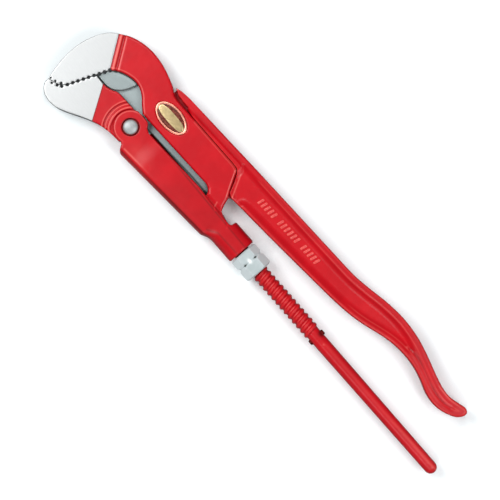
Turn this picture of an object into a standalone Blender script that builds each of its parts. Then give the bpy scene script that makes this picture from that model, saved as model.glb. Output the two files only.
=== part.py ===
"""Pipe wrench of the Swedish pattern, 1 1/2 inch size, lying on its side with closed jaws.

Two forged legs cross in a lap joint. The lower leg is riveted into a folded sheet-steel sleeve.
The hook leg slides along the sleeve on its threaded rod, and a nut bears on the sleeve's rear end.
+X runs along the rod to the jaws, +Y to the side where the mouth opens, +Z up.
Lengths are in millimetres until move_to_frame turns them into metres.
"""

import math

import bmesh
import bpy
from mathutils import Matrix, Vector

# Driving dimensions.
GAP = 0.3
ROD_CREST = 6.9
THREAD_DEPTH = 1.3
THREAD_PITCH = 4.85
SHEET = 3.7
JAW_HALF = 8.5
RIVET_SHANK = 4.6
HANDLE_REACH = 338.0
# The reach at which the handle's points are written below.
HANDLE_DRAWN = 338.0
ROD_REACH = 356.5

# Heights either side of the middle plane.
SLOT_HALF = ROD_CREST + 0.4
TONGUE_HALF = SLOT_HALF - GAP
CHEEK_FACE = SLOT_HALF + SHEET
PLATE_FACE = JAW_HALF - 0.5
WEB_HALF = 4.2
LEDGE_TOP = 3.52
ABOVE = 30.0

# The rod and what runs on it.
ROD_Y = -1.2
ROD_ROOT = ROD_CREST - THREAD_DEPTH
ROD_FRONT = -74.0
THREAD_START = -112.0
THREAD_TURNS = 20
ROD_BEHIND_THREAD = ROD_ROOT + 0.1
ROD_AT_END = 0.91 * ROD_ROOT
BORE = ROD_CREST + GAP
SEGMENTS = 24
# No corner of a round part lies on the middle plane, where others' edges run.
FIRST_ANGLE = 0.047

# The sleeve.
SLEEVE_FRONT = -8.5
SHOULDER_FRONT = -98.0
TUBE_FRONT = -108.5
SLEEVE_BACK = -129.0
TUBE_HALF = BORE + SHEET + 1.0
EAR_RADIUS = 13.4
BEND_RADIUS = 0.9 * SHEET

# The nut.
NUT_FRONT = SLEEVE_BACK - 1.0
NUT_LENGTH = 20.0
NUT_FLATS = 2.0 * (BORE + 3.05)
NUT_CORNER = NUT_FLATS / math.sqrt(3.0)
NUT_CHAMFER = 1.9

# The jaws.
TOOTH_PITCH = 4.4
TOOTH_DEPTH = 1.25
TAIL_RADIUS = 12.6
LAP_RADIUS = 34.2

# The rivet and the badge.
RIVET_HEAD = RIVET_SHANK + 1.1
RIVET_SEAT = RIVET_HEAD + 1.3
SEAT_DEPTH = 1.2
BADGE_CENTRE = (-15.4, -28.2)
BADGE_LENGTH = 15.6
BADGE_WIDTH = 8.9
BADGE_RIM = 2.1
BADGE_BAND = 3.9
# How far the rim stands above the plate, and how deep the plate and its trough lie.
BADGE_RISE = 0.35
BADGE_BED = 0.7
BADGE_TROUGH = 0.3
PIN_RADIUS = 2.2
PIN_X = THREAD_START - THREAD_PITCH * (THREAD_TURNS + 1.0) - PIN_RADIUS - 1.3


# Curves and outlines


def smooth(points, steps=4):
    """Points on a curve that passes through the given ones."""
    ends = [points[0], *points, points[-1]]
    line = []
    for before, start, end, after in zip(ends, ends[1:], ends[2:], ends[3:]):
        for step in range(steps):
            t = step / steps
            line.append(
                tuple(
                    0.5
                    * (
                        2 * b
                        + (c - a) * t
                        + (2 * a - 5 * b + 4 * c - d) * t * t
                        + (3 * b - a - 3 * c + d) * t**3
                    )
                    for a, b, c, d in zip(before, start, end, after)
                )
            )
    line.append(tuple(points[-1]))
    return line


def arc(centre, radius, start, end, steps):
    """Points on an arc, angles in degrees."""
    line = []
    for step in range(steps + 1):
        angle = math.radians(start + (end - start) * step / steps)
        line.append((centre[0] + radius * math.cos(angle), centre[1] + radius * math.sin(angle)))
    return line


def shifted(points, dx):
    """The same points moved along the wrench."""
    return [(x + dx, y) for x, y in points]


def signed_area(outline):
    """Twice the area of the outline, positive if it runs anticlockwise."""
    following = outline[1:] + outline[:1]
    return sum(a[0] * b[1] - b[0] * a[1] for a, b in zip(outline, following))


def inset(outline, depth):
    """The outline moved inward by depth(x, y) at each point."""
    moved = []
    for before, here, after in zip(outline[-1:] + outline[:-1], outline, outline[1:] + outline[:1]):
        back = Vector((here[0] - before[0], here[1] - before[1])).normalized()
        ahead = Vector((after[0] - here[0], after[1] - here[1])).normalized()
        inward = Vector((-back.y - ahead.y, back.x + ahead.x))
        if inward.length < 1e-6:
            inward = Vector((-back.y, back.x))
        inward.normalize()
        stretch = max(0.5, inward.dot(Vector((-back.y, back.x))))
        amount = depth(here[0], here[1]) / stretch
        moved.append((here[0] + inward.x * amount, here[1] + inward.y * amount))
    return moved


def teeth(curve, side):
    """A row of teeth along a curve. side is +1 or -1, the side on which the roots lie."""
    lengths = [0.0]
    for a, b in zip(curve, curve[1:]):
        lengths.append(lengths[-1] + math.dist(a, b))
    count = round(lengths[-1] / TOOTH_PITCH)
    pitch = lengths[-1] / count

    def at(distance, offset):
        index = 0
        while index < len(curve) - 2 and lengths[index + 1] < distance:
            index += 1
        a = Vector(curve[index])
        b = Vector(curve[index + 1])
        along = (b - a).normalized()
        point = a + along * (distance - lengths[index])
        return (point.x - along.y * offset * side, point.y + along.x * offset * side)

    row = []
    for tooth in range(count):
        row.append(at((tooth + 0.12) * pitch, 0.0))
        row.append(at((tooth + 0.50) * pitch, TOOTH_DEPTH))
        row.append(at((tooth + 0.88) * pitch, 0.0))
    return row


# Solids


def new_object(name, bm):
    """A mesh object from bm, with its faces turned outward."""
    bmesh.ops.recalc_face_normals(bm, faces=bm.faces)
    mesh = bpy.data.meshes.new(name)
    bm.to_mesh(mesh)
    bm.free()
    obj = bpy.data.objects.new(name, mesh)
    bpy.context.scene.collection.objects.link(obj)
    return obj


def stack(name, rings):
    """A closed solid through rings of equally many points."""
    bm = bmesh.new()
    levels = [[bm.verts.new(point) for point in ring] for ring in rings]
    for low, high in zip(levels, levels[1:]):
        for i in range(len(low)):
            j = (i + 1) % len(low)
            bm.faces.new((low[i], low[j], high[j], high[i]))
    bm.faces.new(levels[0][::-1])
    bm.faces.new(levels[-1])
    return new_object(name, bm)


def prism(name, outline, bottom, top):
    """The outline between two heights."""
    return stack(name, [[(x, y, z) for x, y in outline] for z in (bottom, top)])


def rounded_prism(name, outline, half, depth, steps=2):
    """The outline from -half to half, its edges rounded by depth(x, y)."""
    if signed_area(outline) < 0:
        outline = outline[::-1]
    largest = max(depth(x, y) for x, y in outline)
    rings = []
    for side in (-1, 1):
        for step in range(steps + 1):
            angle = 0.5 * math.pi * (step if side < 0 else steps - step) / steps
            drop = 1.0 - math.sin(angle)
            z = side * (half - largest * (1.0 - math.cos(angle)))
            ring = inset(outline, lambda x, y, drop=drop: depth(x, y) * drop)
            rings.append([(x, y, z) for x, y in ring])
    return stack(name, rings)


def turned(name, profile, segments, place):
    """A solid of revolution from (along, radius) pairs that start and end on the axis."""
    bm = bmesh.new()
    rings = []
    for along, radius in profile[1:-1]:
        ring = []
        for i in range(segments):
            angle = FIRST_ANGLE + 2.0 * math.pi * i / segments
            ring.append(bm.verts.new(place(along, radius * math.cos(angle), radius * math.sin(angle))))
        rings.append(ring)
    first = bm.verts.new(place(profile[0][0], 0.0, 0.0))
    last = bm.verts.new(place(profile[-1][0], 0.0, 0.0))
    for i in range(segments):
        j = (i + 1) % segments
        bm.faces.new((first, rings[0][j], rings[0][i]))
        bm.faces.new((last, rings[-1][i], rings[-1][j]))
        for low, high in zip(rings, rings[1:]):
            bm.faces.new((low[i], low[j], high[j], high[i]))
    return new_object(name, bm)


def along_rod(along, across, up):
    """A point on something that turns about the rod."""
    return (along, ROD_Y + across, up)


def about_rivet(along, across, up):
    """A point on something that turns about the rivet."""
    return (across, up, along)


def combine(target, tool, operation):
    """Joins, cuts or intersects target with tool, which is used up."""
    modifier = target.modifiers.new("combine", "BOOLEAN")
    modifier.operation = operation
    modifier.solver = "EXACT"
    modifier.object = tool
    bpy.context.view_layer.update()
    evaluated = target.evaluated_get(bpy.context.evaluated_depsgraph_get())
    result = bpy.data.meshes.new_from_object(evaluated)
    target.modifiers.clear()
    old = target.data
    target.data = result
    bpy.data.meshes.remove(old)
    bpy.data.objects.remove(tool)
    return target


def join(target, *tools):
    for tool in tools:
        combine(target, tool, "UNION")
    return target


def cut(target, *tools):
    for tool in tools:
        combine(target, tool, "DIFFERENCE")
    return target


# The jaws' shared lines


def mouth_line(offset):
    """The line the teeth of both jaws meet on, moved sideways by offset."""
    base = [(43.9, -17.0), (57.0, 15.0)]
    tip = smooth([(57.0, 15.0), (60.6, 19.2), (65.2, 21.6), (70.4, 22.8)], 3)
    line = base[:1] + tip
    moved = []
    for index, here in enumerate(line):
        a = Vector(line[max(index - 1, 0)])
        b = Vector(line[min(index + 1, len(line) - 1)])
        along = (b - a).normalized()
        moved.append((here[0] - along.y * offset, here[1] + along.x * offset))
    return moved


def polished_border(offset):
    """The straight border of the hook's bright end, moved back by offset."""
    start = Vector((44.2, -17.3))
    end = Vector((60.2, -40.4))
    along = (end - start).normalized()
    back = Vector((along.y, -along.x)) * offset
    return start + back, end + back, along


def strip(near, far):
    """A band beside the hook's bright end, between two distances from its border."""
    start, end, along = polished_border(near)
    start_far, end_far, along = polished_border(far)
    reach = along * 20.0
    return [tuple(start - reach), tuple(end + reach), tuple(end_far + reach), tuple(start_far - reach)]


# The lower leg


def jaw_outline():
    back = smooth(
        [(-2, 14.2), (8, 15), (17, 17), (25, 20.3), (33, 24.5), (42, 29.8), (50, 33.4), (57, 34.4)], 2
    )
    tip = smooth([(57, 34.4), (63.5, 33.0), (67.8, 30.0), (70.0, 26.6), (69.9, 23.9)], 3)
    row = teeth(mouth_line(0.5 * GAP)[::-1], -1)
    # The lowest two teeth belong to the hook alone.
    row = [point for point in row if point[1] > -6.0]
    heel = smooth([(46.9, -6.4), (41, -6.2), (36, -6.6), (31, -8.2), (27.5, -10.2), (24, -10.8)], 2)
    return back[:-1] + tip[:-1] + row + heel + [(0, -11.2), (-6.5, 10.5)]


def jaw_steps(side):
    """What is cut away round the rivet: the seat of the sleeve's ear and the stepped ridges."""
    low = TONGUE_HALF
    high = 0.5 * (TONGUE_HALF + JAW_HALF) + 0.45
    ear = EAR_RADIUS
    profile = [
        (ABOVE, 0.0),
        (ABOVE, ear + 8.2),
        (JAW_HALF + 0.6, ear + 7.4),
        (JAW_HALF, ear + 7.0),
        (low + 0.3, ear + 6.2),
        (low + 0.3, ear + 4.9),
        (high, ear + 4.3),
        (high, ear + 3.2),
        (low, ear + 2.5),
        (low, 0.0),
    ]
    profile = [(side * along, radius) for along, radius in profile]
    return turned("steps", profile, 64, about_rivet)


def lap_outline():
    """The lower leg's web plate, which lies under the hook leg."""
    front = arc((0, 0), LAP_RADIUS, -14.5, -75, 10)
    rest = [(-1.5, -43), (-1.5, -45.6), (-20, -47), (-88, -48), (-93.2, -22.4)]
    hidden = [(-90.6, -20.5), (-88.6, -15), (-84, -9), (-76, -6), (-12, -6), (0, -4), (30, -4)]
    return front + rest + hidden


def leg_outline():
    shift = HANDLE_DRAWN - HANDLE_REACH
    nose = smooth([(-0.9, -45.9), (-0.6, -46.4), (-3.5, -47.5), (-8, -48.4), (-15, -49.1)], 2)
    outer = smooth(
        [
            (-180, -54.1),
            (-200, -54.8),
            (-215, -56.9),
            (-232, -60.0),
            (-250, -61.6),
            (-267, -60.4),
            (-283, -56.8),
            (-299, -51.9),
            (-311, -48.9),
            (-320, -48.5),
            (-329, -50.6),
            (-334, -51.9),
            (-337.6, -50.4),
            (-338, -46.6),
            (-335, -42.0),
            (-330, -38.8),
            (-322, -35.8),
            (-314, -35.0),
            (-305, -36.4),
            (-294, -40.1),
            (-283, -42.6),
            (-271, -43.2),
            (-258, -41.9),
            (-246, -38.8),
            (-234, -35.1),
            (-222, -32.3),
            (-205, -30.0),
            (-180, -28.0),
        ],
        2,
    )
    front = [(-93.2, -22.4), (-88, -24), (-20, -42), (-5, -43.6)]
    return nose + [(-90, -51.7)] + shifted(outer, shift) + [(-135, -24.8)] + front


def leg_rounding(x, y):
    """How far the leg's long edges are rounded: not at all beside the hook leg."""
    if y > -44 and x > -100:
        return 0.0
    return 1.5 * min(1.0, max(0.0, (-20.0 - x) / 60.0))


def lap_recess():
    """The hollow in which the hook leg's plate lies, ending in a slanted wall."""
    outline = [
        (40, -44.6),
        (-2.6, -45.3),
        (-5.7, -43.9),
        (-12, -43.4),
        (-60, -45.2),
        (-77, -45.8),
        (-82, -44.6),
        (-84.5, -40.6),
        (-93.2, -23.6),
        (-95, -15),
        (40, -15),
    ]
    return prism("recess", outline, -GAP, ABOVE)


def web_outline(front):
    shift = HANDLE_DRAWN - HANDLE_REACH
    rear = smooth(
        [
            (-180, -48.2),
            (-200, -48.9),
            (-218, -51.4),
            (-235, -54.4),
            (-250, -55.6),
            (-262, -54.6),
            (-271, -51.8),
            (-274, -49.6),
            (-271, -47.7),
            (-260, -47.0),
            (-247, -43.7),
            (-234, -39.6),
            (-220, -36.3),
            (-203, -33.8),
            (-180, -31.9),
        ],
        2,
    )
    return front + shifted(rear, shift) + [(-106, -27.2), (-102, -26.2)]


def make_lower_leg():
    body = prism("lower_jaw_leg", jaw_outline(), -JAW_HALF, JAW_HALF)
    cut(body, jaw_steps(1), jaw_steps(-1))
    half = TONGUE_HALF - 0.03
    tail = turned(
        "tail",
        [(-half, 0), (-half, TAIL_RADIUS), (half, TAIL_RADIUS), (half, 0)],
        48,
        about_rivet,
    )
    plate = prism("lap", lap_outline(), -PLATE_FACE, -GAP)
    room = [(-120, -14), (24, -14), (24, 20), (-120, 20)]
    cut(plate, prism("sleeve_room", room, -ABOVE, -TONGUE_HALF))
    path = [(-130, 0), (-130, ROD_CREST + 0.5), (-TAIL_RADIUS - 1, ROD_CREST + 0.5), (-TAIL_RADIUS - 1, 0)]
    cut(plate, turned("rod_room", path, 32, along_rod))
    leg = rounded_prism("leg", leg_outline(), PLATE_FACE, leg_rounding)
    cut(leg, lap_recess())
    open_front = [(-99, -18), (-80, -30), (-80, -46), (-90, -46.4)]
    closed_front = [(-99, -30), (-90, -46.4)]
    cut(leg, prism("near_web", web_outline(open_front), WEB_HALF, ABOVE))
    cut(leg, prism("far_web", web_outline(closed_front), -ABOVE, -WEB_HALF))
    join(body, tail, plate, leg)
    hole = [(-ABOVE, 0), (-ABOVE, RIVET_SHANK + GAP), (ABOVE, RIVET_SHANK + GAP), (ABOVE, 0)]
    return cut(body, turned("hole", hole, 32, about_rivet))


# The hook leg


def throat():
    points = [(2, -13.8), (7.5, -17.8), (13, -22.3), (19, -25.1), (25, -25.8), (32, -24.3), (38.5, -21.3)]
    return smooth(points + [(43.9, -17)], 2)


def hook_back():
    """The outer edge of the hook, from its tip to the nose of the lower leg."""
    return smooth(
        [
            (70.9, 21.2),
            (73.2, 12),
            (74.7, 2),
            (75.0, -6),
            (73.8, -17),
            (70.3, -28.3),
            (65.6, -36),
            (60.2, -41.0),
            (53.5, -45.8),
            (45, -49.3),
            (35, -51.2),
            (25, -51.1),
            (16, -49.6),
            (8, -47.3),
            (2.5, -45.3),
            (-1.2, -43.2),
            (-4.7, -41.4),
            (-10, -40.8),
        ],
        2,
    )


def hook_outline():
    row = teeth(mouth_line(-0.5 * GAP), -1)
    plate = [(-74, -40.9), (-78, -40.4), (-80.3, -38.2), (-90.9, -19.2), (-92.4, -15), (-94, -10.7)]
    front = [(-79, -10.7), (-77, -12.3), (-75, -14.2), (-72, -15.0), (-5, -13.6)]
    return row + hook_back() + plate + front + throat()


def neck_outline():
    rear = [(-88, -24), (-90.9, -19.2), (-92.4, -15), (-95.2, -10.2), (-100.5, -8.0), (-104, -6)]
    return smooth(rear, 2) + [(-104, ROD_Y), (-78, ROD_Y), (-78, -9), (-77, -12.3), (-75, -14.2), (-72, -16)]


def far_lap_outline():
    """Where the hook leg leaves room for the lower leg's plate."""
    front = arc((0, 0), LAP_RADIUS + 1.0, -5, -68, 10)
    return front + [(13.2, -70), (-140, -70), (-140, 10)]


def lens_outline():
    """The low ledge between the throat and the lower jaw."""
    upper = [(22.0, -24.6), (24.3, -18), (27.2, -13), (31.4, -9.0), (36, -7.4), (41, -7.0), (46.9, -7.4)]
    return smooth(upper, 2) + [(50.0, -14), (46, -26), (32, -30), (22.5, -28)]


def threaded_rod():
    """The rod as one solid: plain front, thread, then the round handle with a domed end."""
    bm = bmesh.new()
    n = SEGMENTS
    profile = [(0.0, ROD_ROOT), (0.36, ROD_CREST), (0.52, ROD_CREST), (0.88, ROD_ROOT)]
    last = THREAD_TURNS * n

    def vertex(x, radius, index):
        angle = FIRST_ANGLE - 2.0 * math.pi * index / n
        return bm.verts.new(along_rod(x, radius * math.cos(angle), radius * math.sin(angle)))

    def ring(x, radius):
        return [vertex(x, radius, i) for i in range(n)]

    def bridge(low, high):
        for i in range(n):
            j = (i + 1) % n
            bm.faces.new((low[i], low[j], high[j], high[i]))

    def helix_x(step, fraction):
        return THREAD_START - THREAD_PITCH * (step / n + fraction)

    roots = [vertex(helix_x(k, 0.0), ROD_ROOT, k) for k in range(last + n + 1)]
    rows = []
    for k in range(last + 1):
        flank = [vertex(helix_x(k, fraction), radius, k) for fraction, radius in profile[1:]]
        rows.append([roots[k], *flank, roots[k + n]])
    for here, following in zip(rows, rows[1:]):
        for j in range(len(profile)):
            bm.faces.new((here[j], following[j], following[j + 1], here[j + 1]))
    bm.faces.new(rows[0][:-1])
    bm.faces.new(rows[-1][-2::-1])

    front = [ring(ROD_FRONT, ROD_CREST - 1.2), ring(ROD_FRONT - 1.2, ROD_CREST)]
    front.append(ring(THREAD_START + 2.6, ROD_CREST))
    front.append(ring(THREAD_START + 1.0, ROD_ROOT))
    bm.faces.new(front[0])
    for low, high in zip(front, front[1:]):
        bridge(low, high)
    start = front[-1]
    for i in range(n - 1):
        bm.faces.new((start[i], start[i + 1], roots[i + 1], roots[i]))
    bm.faces.new((start[n - 1], start[0], roots[0], rows[0][-2], roots[n], roots[n - 1]))

    run_out = THREAD_START - THREAD_PITCH * (THREAD_TURNS + 1.0)
    handle = [ring(run_out - 1.0, ROD_ROOT), ring(run_out - 8.0, ROD_BEHIND_THREAD)]
    end = handle[0]
    bm.faces.new((roots[last], roots[last + 1], end[1], end[0], roots[last + n], rows[-1][-2]))
    for i in range(1, n):
        bm.faces.new((roots[last + i], roots[last + i + 1], end[(i + 1) % n], end[i]))
    for step in range(5):
        angle = math.radians(80.0 * step / 4)
        reach = ROD_AT_END * (1.0 - math.sin(angle))
        handle.append(ring(reach - ROD_REACH, ROD_AT_END * math.cos(angle)))
    for low, high in zip(handle, handle[1:]):
        bridge(low, high)
    bm.faces.new(handle[-1][::-1])
    return new_object("rod", bm)


def make_hook_leg():
    body = prism("hook_jaw_leg", hook_outline(), -JAW_HALF, JAW_HALF)
    cut(body, prism("far_lap", far_lap_outline(), -ABOVE, GAP))
    for side in (-1, 1):
        plain = prism("plain", strip(5.6, 200.0), PLATE_FACE, ABOVE)
        groove = prism("groove", strip(3.6, 5.6), PLATE_FACE - 1.0, ABOVE)
        if side < 0:
            plain.data.transform(Matrix.Diagonal((1, 1, -1, 1)))
            groove.data.transform(Matrix.Diagonal((1, 1, -1, 1)))
            plain.data.flip_normals()
            groove.data.flip_normals()
        cut(body, plain, groove)
    cut(body, make_badge_plate("badge_seat", GAP, PLATE_FACE - 0.8, ABOVE))
    join(body, prism("lens", lens_outline(), GAP, LEDGE_TOP))
    join(body, prism("neck", neck_outline(), GAP, TONGUE_HALF))
    join(body, threaded_rod())
    hole = [(-ABOVE, 0), (-ABOVE, PIN_RADIUS + 0.1), (ABOVE, PIN_RADIUS + 0.1), (ABOVE, 0)]
    return cut(body, turned("pin_hole", hole, 16, across_rod))


# The sleeve


def sleeve_top(x):
    """Where the folded edge of the sleeve lies."""
    return 20.0 + 0.0645 * (x - SLEEVE_FRONT)


def sleeve_outline():
    ear = arc((0, 0), EAR_RADIUS, 104, -68, 16)
    lower = [(-5.5, -12.6), (-7.2, -11.6), (-9.5, -8.9), (-13, -7.4), (-70, -9.6), (-82, -8.6)]
    lower.append((TUBE_FRONT + 1.5, -7.9))
    tube = [(TUBE_FRONT, -9.2), (TUBE_FRONT - 0.4, ROD_Y - TUBE_HALF), (SLEEVE_BACK, ROD_Y - TUBE_HALF)]
    shoulder = [(TUBE_FRONT - 2, ROD_Y + TUBE_HALF), (-104, 12.3)]
    shoulder.append((SHOULDER_FRONT, sleeve_top(SHOULDER_FRONT)))
    upper = [(SLEEVE_BACK, ROD_Y + TUBE_HALF)] + smooth(shoulder, 3)
    front = [(-40, sleeve_top(-40)), (SLEEVE_FRONT - 0.8, sleeve_top(SLEEVE_FRONT))]
    front += [(SLEEVE_FRONT + 1.8, 16.6), (-5.4, 14.2)]
    return ear + lower + tube + upper + front


def sleeve_rounding(x, y):
    """The fold is rounded along the upper edge, and the tube at both edges."""
    if x <= TUBE_FRONT - 0.3:
        return 2.1 * BEND_RADIUS
    if y > 9.0 and x < SLEEVE_FRONT:
        towards_tube = max(0.0, (SHOULDER_FRONT - x) / (SHOULDER_FRONT - TUBE_FRONT))
        return BEND_RADIUS * (1.0 + 1.1 * towards_tube)
    return 0.0


def slot_outline():
    """The inside of the fold, open towards the long leg and at the front."""
    inner = [(TUBE_FRONT + 2, ROD_Y + TUBE_HALF - SHEET - 0.6)]
    inner.append((SHOULDER_FRONT, sleeve_top(SHOULDER_FRONT) - SHEET))
    inner.append((SLEEVE_FRONT - 0.5, sleeve_top(SLEEVE_FRONT) - SHEET - 0.6))
    return inner + [(-3, 15.2), (40, 15.2), (40, -40), (TUBE_FRONT + 2, -40)]


def make_sleeve():
    body = rounded_prism("sleeve", sleeve_outline(), CHEEK_FACE, sleeve_rounding, 3)
    cut(body, prism("slot", slot_outline(), -SLOT_HALF, SLOT_HALF))
    bore = [(-150, 0), (-150, BORE), (TUBE_FRONT + 6, BORE), (TUBE_FRONT + 6, 0)]
    cut(body, turned("bore", bore, 32, along_rod))
    seat = CHEEK_FACE - SEAT_DEPTH
    steps = [(-ABOVE, 0), (-ABOVE, RIVET_SEAT), (-seat, RIVET_SEAT), (-seat, RIVET_SHANK + GAP)]
    steps += [(-along, radius) for along, radius in steps[::-1]]
    return cut(body, turned("rivet_room", steps, 32, about_rivet))


# The small parts


def make_nut():
    back = NUT_FRONT - NUT_LENGTH
    middle = NUT_FRONT - 0.45 * NUT_LENGTH
    full = NUT_CORNER + 0.2
    low = NUT_CORNER - NUT_CHAMFER
    profile = [
        (NUT_FRONT, 0),
        (NUT_FRONT, low),
        (NUT_FRONT - 1.5, full),
        (middle + 1.6, full),
        (middle, NUT_FLATS / 2 - 0.5),
        (middle - 1.6, full),
        (back + 1.5, full),
        (back, low),
        (back, 0),
    ]
    body = turned("adjusting_nut", profile, 48, along_rod)
    hexagon = []
    for x in (NUT_FRONT + 5, back - 5):
        ring = []
        for corner in range(6):
            angle = math.radians(60 * corner)
            ring.append(along_rod(x, NUT_CORNER * math.cos(angle), NUT_CORNER * math.sin(angle)))
        hexagon.append(ring)
    combine(body, stack("hexagon", hexagon), "INTERSECT")
    bore = [(-200, 0), (-200, BORE), (-100, BORE), (-100, 0)]
    return cut(body, turned("bore", bore, 32, along_rod))


def make_rivet():
    face = CHEEK_FACE - SEAT_DEPTH + 0.1
    head = [(face + 0.6, RIVET_HEAD)]
    for step in range(1, 4):
        angle = math.radians(26 * step)
        head.append((face + 0.6 + 1.9 * math.sin(angle), RIVET_HEAD * math.cos(angle)))
    half = [(face, RIVET_SHANK), (face, RIVET_HEAD), *head, (face + 2.5, 0)]
    profile = [(-along, radius) for along, radius in half[::-1]] + half
    return turned("pivot_rivet", profile, 32, about_rivet)


def ellipse(length, width, steps=40):
    x, y = BADGE_CENTRE
    angles = [2.0 * math.pi * step / steps for step in range(steps)]
    return [(x + length * math.cos(angle), y + width * math.sin(angle)) for angle in angles]


def make_badge_plate(name, growth, bottom, top):
    return prism(name, ellipse(BADGE_LENGTH + growth, BADGE_WIDTH + growth), bottom, top)


def make_badge():
    """An oval plate with a raised rim and a raised band along its middle."""
    floor = PLATE_FACE - BADGE_BED
    body = make_badge_plate("badge", 0.0, floor, PLATE_FACE + BADGE_RISE)
    hollow = ellipse(BADGE_LENGTH - BADGE_RIM, BADGE_WIDTH - BADGE_RIM)
    trough = prism("trough", hollow, PLATE_FACE - BADGE_TROUGH, ABOVE)
    middle = prism("middle", ellipse(BADGE_LENGTH - 2.0 * BADGE_RIM, BADGE_BAND), floor, ABOVE)
    return cut(body, cut(trough, middle))


def make_enamel():
    """The dark ring that fills the badge's trough."""
    length = BADGE_LENGTH - BADGE_RIM - 0.1
    width = BADGE_WIDTH - BADGE_RIM - 0.1
    bottom = PLATE_FACE - BADGE_TROUGH + 0.05
    body = prism("badge_enamel", ellipse(length, width), bottom, PLATE_FACE + 0.15)
    middle = ellipse(BADGE_LENGTH - 2.0 * BADGE_RIM + 0.1, BADGE_BAND + 0.1)
    return cut(body, prism("middle", middle, 0, ABOVE))


def across_rod(along, across, up):
    """A point on something that turns about the cross pin."""
    return (PIN_X + across, ROD_Y + along, up)


def make_pin():
    reach = ROD_CREST + 0.4
    profile = [(-reach, 0), (-reach, PIN_RADIUS - 0.4), (0.4 - reach, PIN_RADIUS)]
    profile += [(-along, radius) for along, radius in profile[::-1]]
    return turned("stop_pin", profile, 16, across_rod)


# Materials


def material(name, colour, metallic, roughness):
    made = bpy.data.materials.new(name)
    made.use_nodes = True
    shader = made.node_tree.nodes["Principled BSDF"]
    shader.inputs["Base Color"].default_value = (*colour, 1.0)
    shader.inputs["Metallic"].default_value = metallic
    shader.inputs["Roughness"].default_value = roughness
    return made


def make_materials():
    return {
        "lower_jaw_leg": material("red_enamel_leg", (0.60, 0.015, 0.025), 0.0, 0.35),
        "hook_jaw_leg": material("red_enamel_hook", (0.62, 0.015, 0.025), 0.0, 0.35),
        "sleeve": material("red_enamel_sleeve", (0.58, 0.015, 0.025), 0.0, 0.38),
        "adjusting_nut": material("zinc_plate", (0.66, 0.72, 0.70), 1.0, 0.35),
        "pivot_rivet": material("bright_steel", (0.70, 0.73, 0.71), 1.0, 0.30),
        "badge": material("gilt", (0.80, 0.58, 0.28), 1.0, 0.35),
        "badge_enamel": material("dark_enamel", (0.16, 0.03, 0.01), 0.0, 0.30),
        "stop_pin": material("dark_steel", (0.10, 0.04, 0.04), 1.0, 0.50),
    }


def origins():
    """Where each part turns, or a point on its axis."""
    return {
        "lower_jaw_leg": (0, 0, 0),
        "hook_jaw_leg": (0, ROD_Y, 0),
        "sleeve": (0, 0, 0),
        "adjusting_nut": (NUT_FRONT - 0.5 * NUT_LENGTH, ROD_Y, 0),
        "pivot_rivet": (0, 0, 0),
        "badge": (*BADGE_CENTRE, PLATE_FACE),
        "badge_enamel": (*BADGE_CENTRE, PLATE_FACE),
        "stop_pin": (PIN_X, ROD_Y, 0),
    }


def finish_shading(obj):
    for polygon in obj.data.polygons:
        polygon.use_smooth = True
    obj.data.set_sharp_from_angle(angle=math.radians(28))


def move_to_frame(parts):
    """Metres, with the bottom centre of the whole at the origin."""
    corners = [vertex.co for part in parts for vertex in part.data.vertices]
    low = Vector([min(corner[i] for corner in corners) for i in range(3)])
    high = Vector([max(corner[i] for corner in corners) for i in range(3)])
    base = Vector(((low.x + high.x) / 2, (low.y + high.y) / 2, low.z))
    places = origins()
    for part in parts:
        origin = Vector(places[part.name])
        part.data.transform(Matrix.Scale(0.001, 4) @ Matrix.Translation(-origin))
        part.location = (origin - base) * 0.001


def main():
    for obj in list(bpy.data.objects):
        bpy.data.objects.remove(obj, do_unlink=True)
    parts = [
        make_lower_leg(),
        make_hook_leg(),
        make_sleeve(),
        make_nut(),
        make_rivet(),
        make_badge(),
        make_enamel(),
        make_pin(),
    ]
    materials = make_materials()
    for part in parts:
        part.data.materials.clear()
        part.data.materials.append(materials[part.name])
        finish_shading(part)
    move_to_frame(parts)


main()
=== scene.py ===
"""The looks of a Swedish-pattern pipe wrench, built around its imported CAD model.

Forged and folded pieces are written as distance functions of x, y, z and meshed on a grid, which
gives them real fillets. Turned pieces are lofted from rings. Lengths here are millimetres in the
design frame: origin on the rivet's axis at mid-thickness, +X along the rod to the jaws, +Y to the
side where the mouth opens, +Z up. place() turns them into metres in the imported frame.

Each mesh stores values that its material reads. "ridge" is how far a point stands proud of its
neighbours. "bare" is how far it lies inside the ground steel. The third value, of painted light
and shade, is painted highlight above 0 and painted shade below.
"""

import math

import bpy
import numpy as np
from mathutils import Matrix, Vector


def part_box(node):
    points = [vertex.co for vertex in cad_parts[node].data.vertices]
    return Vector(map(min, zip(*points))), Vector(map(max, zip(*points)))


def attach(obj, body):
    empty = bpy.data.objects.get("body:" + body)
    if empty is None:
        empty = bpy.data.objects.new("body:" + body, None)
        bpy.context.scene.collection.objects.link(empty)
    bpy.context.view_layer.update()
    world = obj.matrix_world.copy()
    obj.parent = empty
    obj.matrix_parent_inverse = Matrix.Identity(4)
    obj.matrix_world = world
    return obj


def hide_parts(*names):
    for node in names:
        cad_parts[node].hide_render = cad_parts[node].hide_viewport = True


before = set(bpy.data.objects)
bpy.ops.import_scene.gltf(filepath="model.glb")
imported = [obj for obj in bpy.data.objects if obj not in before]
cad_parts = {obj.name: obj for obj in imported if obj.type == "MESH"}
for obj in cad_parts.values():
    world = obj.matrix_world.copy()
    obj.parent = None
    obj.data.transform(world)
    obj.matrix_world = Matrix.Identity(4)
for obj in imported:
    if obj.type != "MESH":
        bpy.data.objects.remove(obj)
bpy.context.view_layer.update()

# Sizes shared with the CAD model.
GAP = 0.3
ROD_Y = -1.2
ROD_CREST = 6.9
ROD_ROOT = 5.6
ROD_REACH = 356.38
THREAD_START = -112.0
THREAD_PITCH = 4.85
THREAD_TURNS = 20
SLOT_HALF = 7.3
TONGUE_HALF = 7.0
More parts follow.
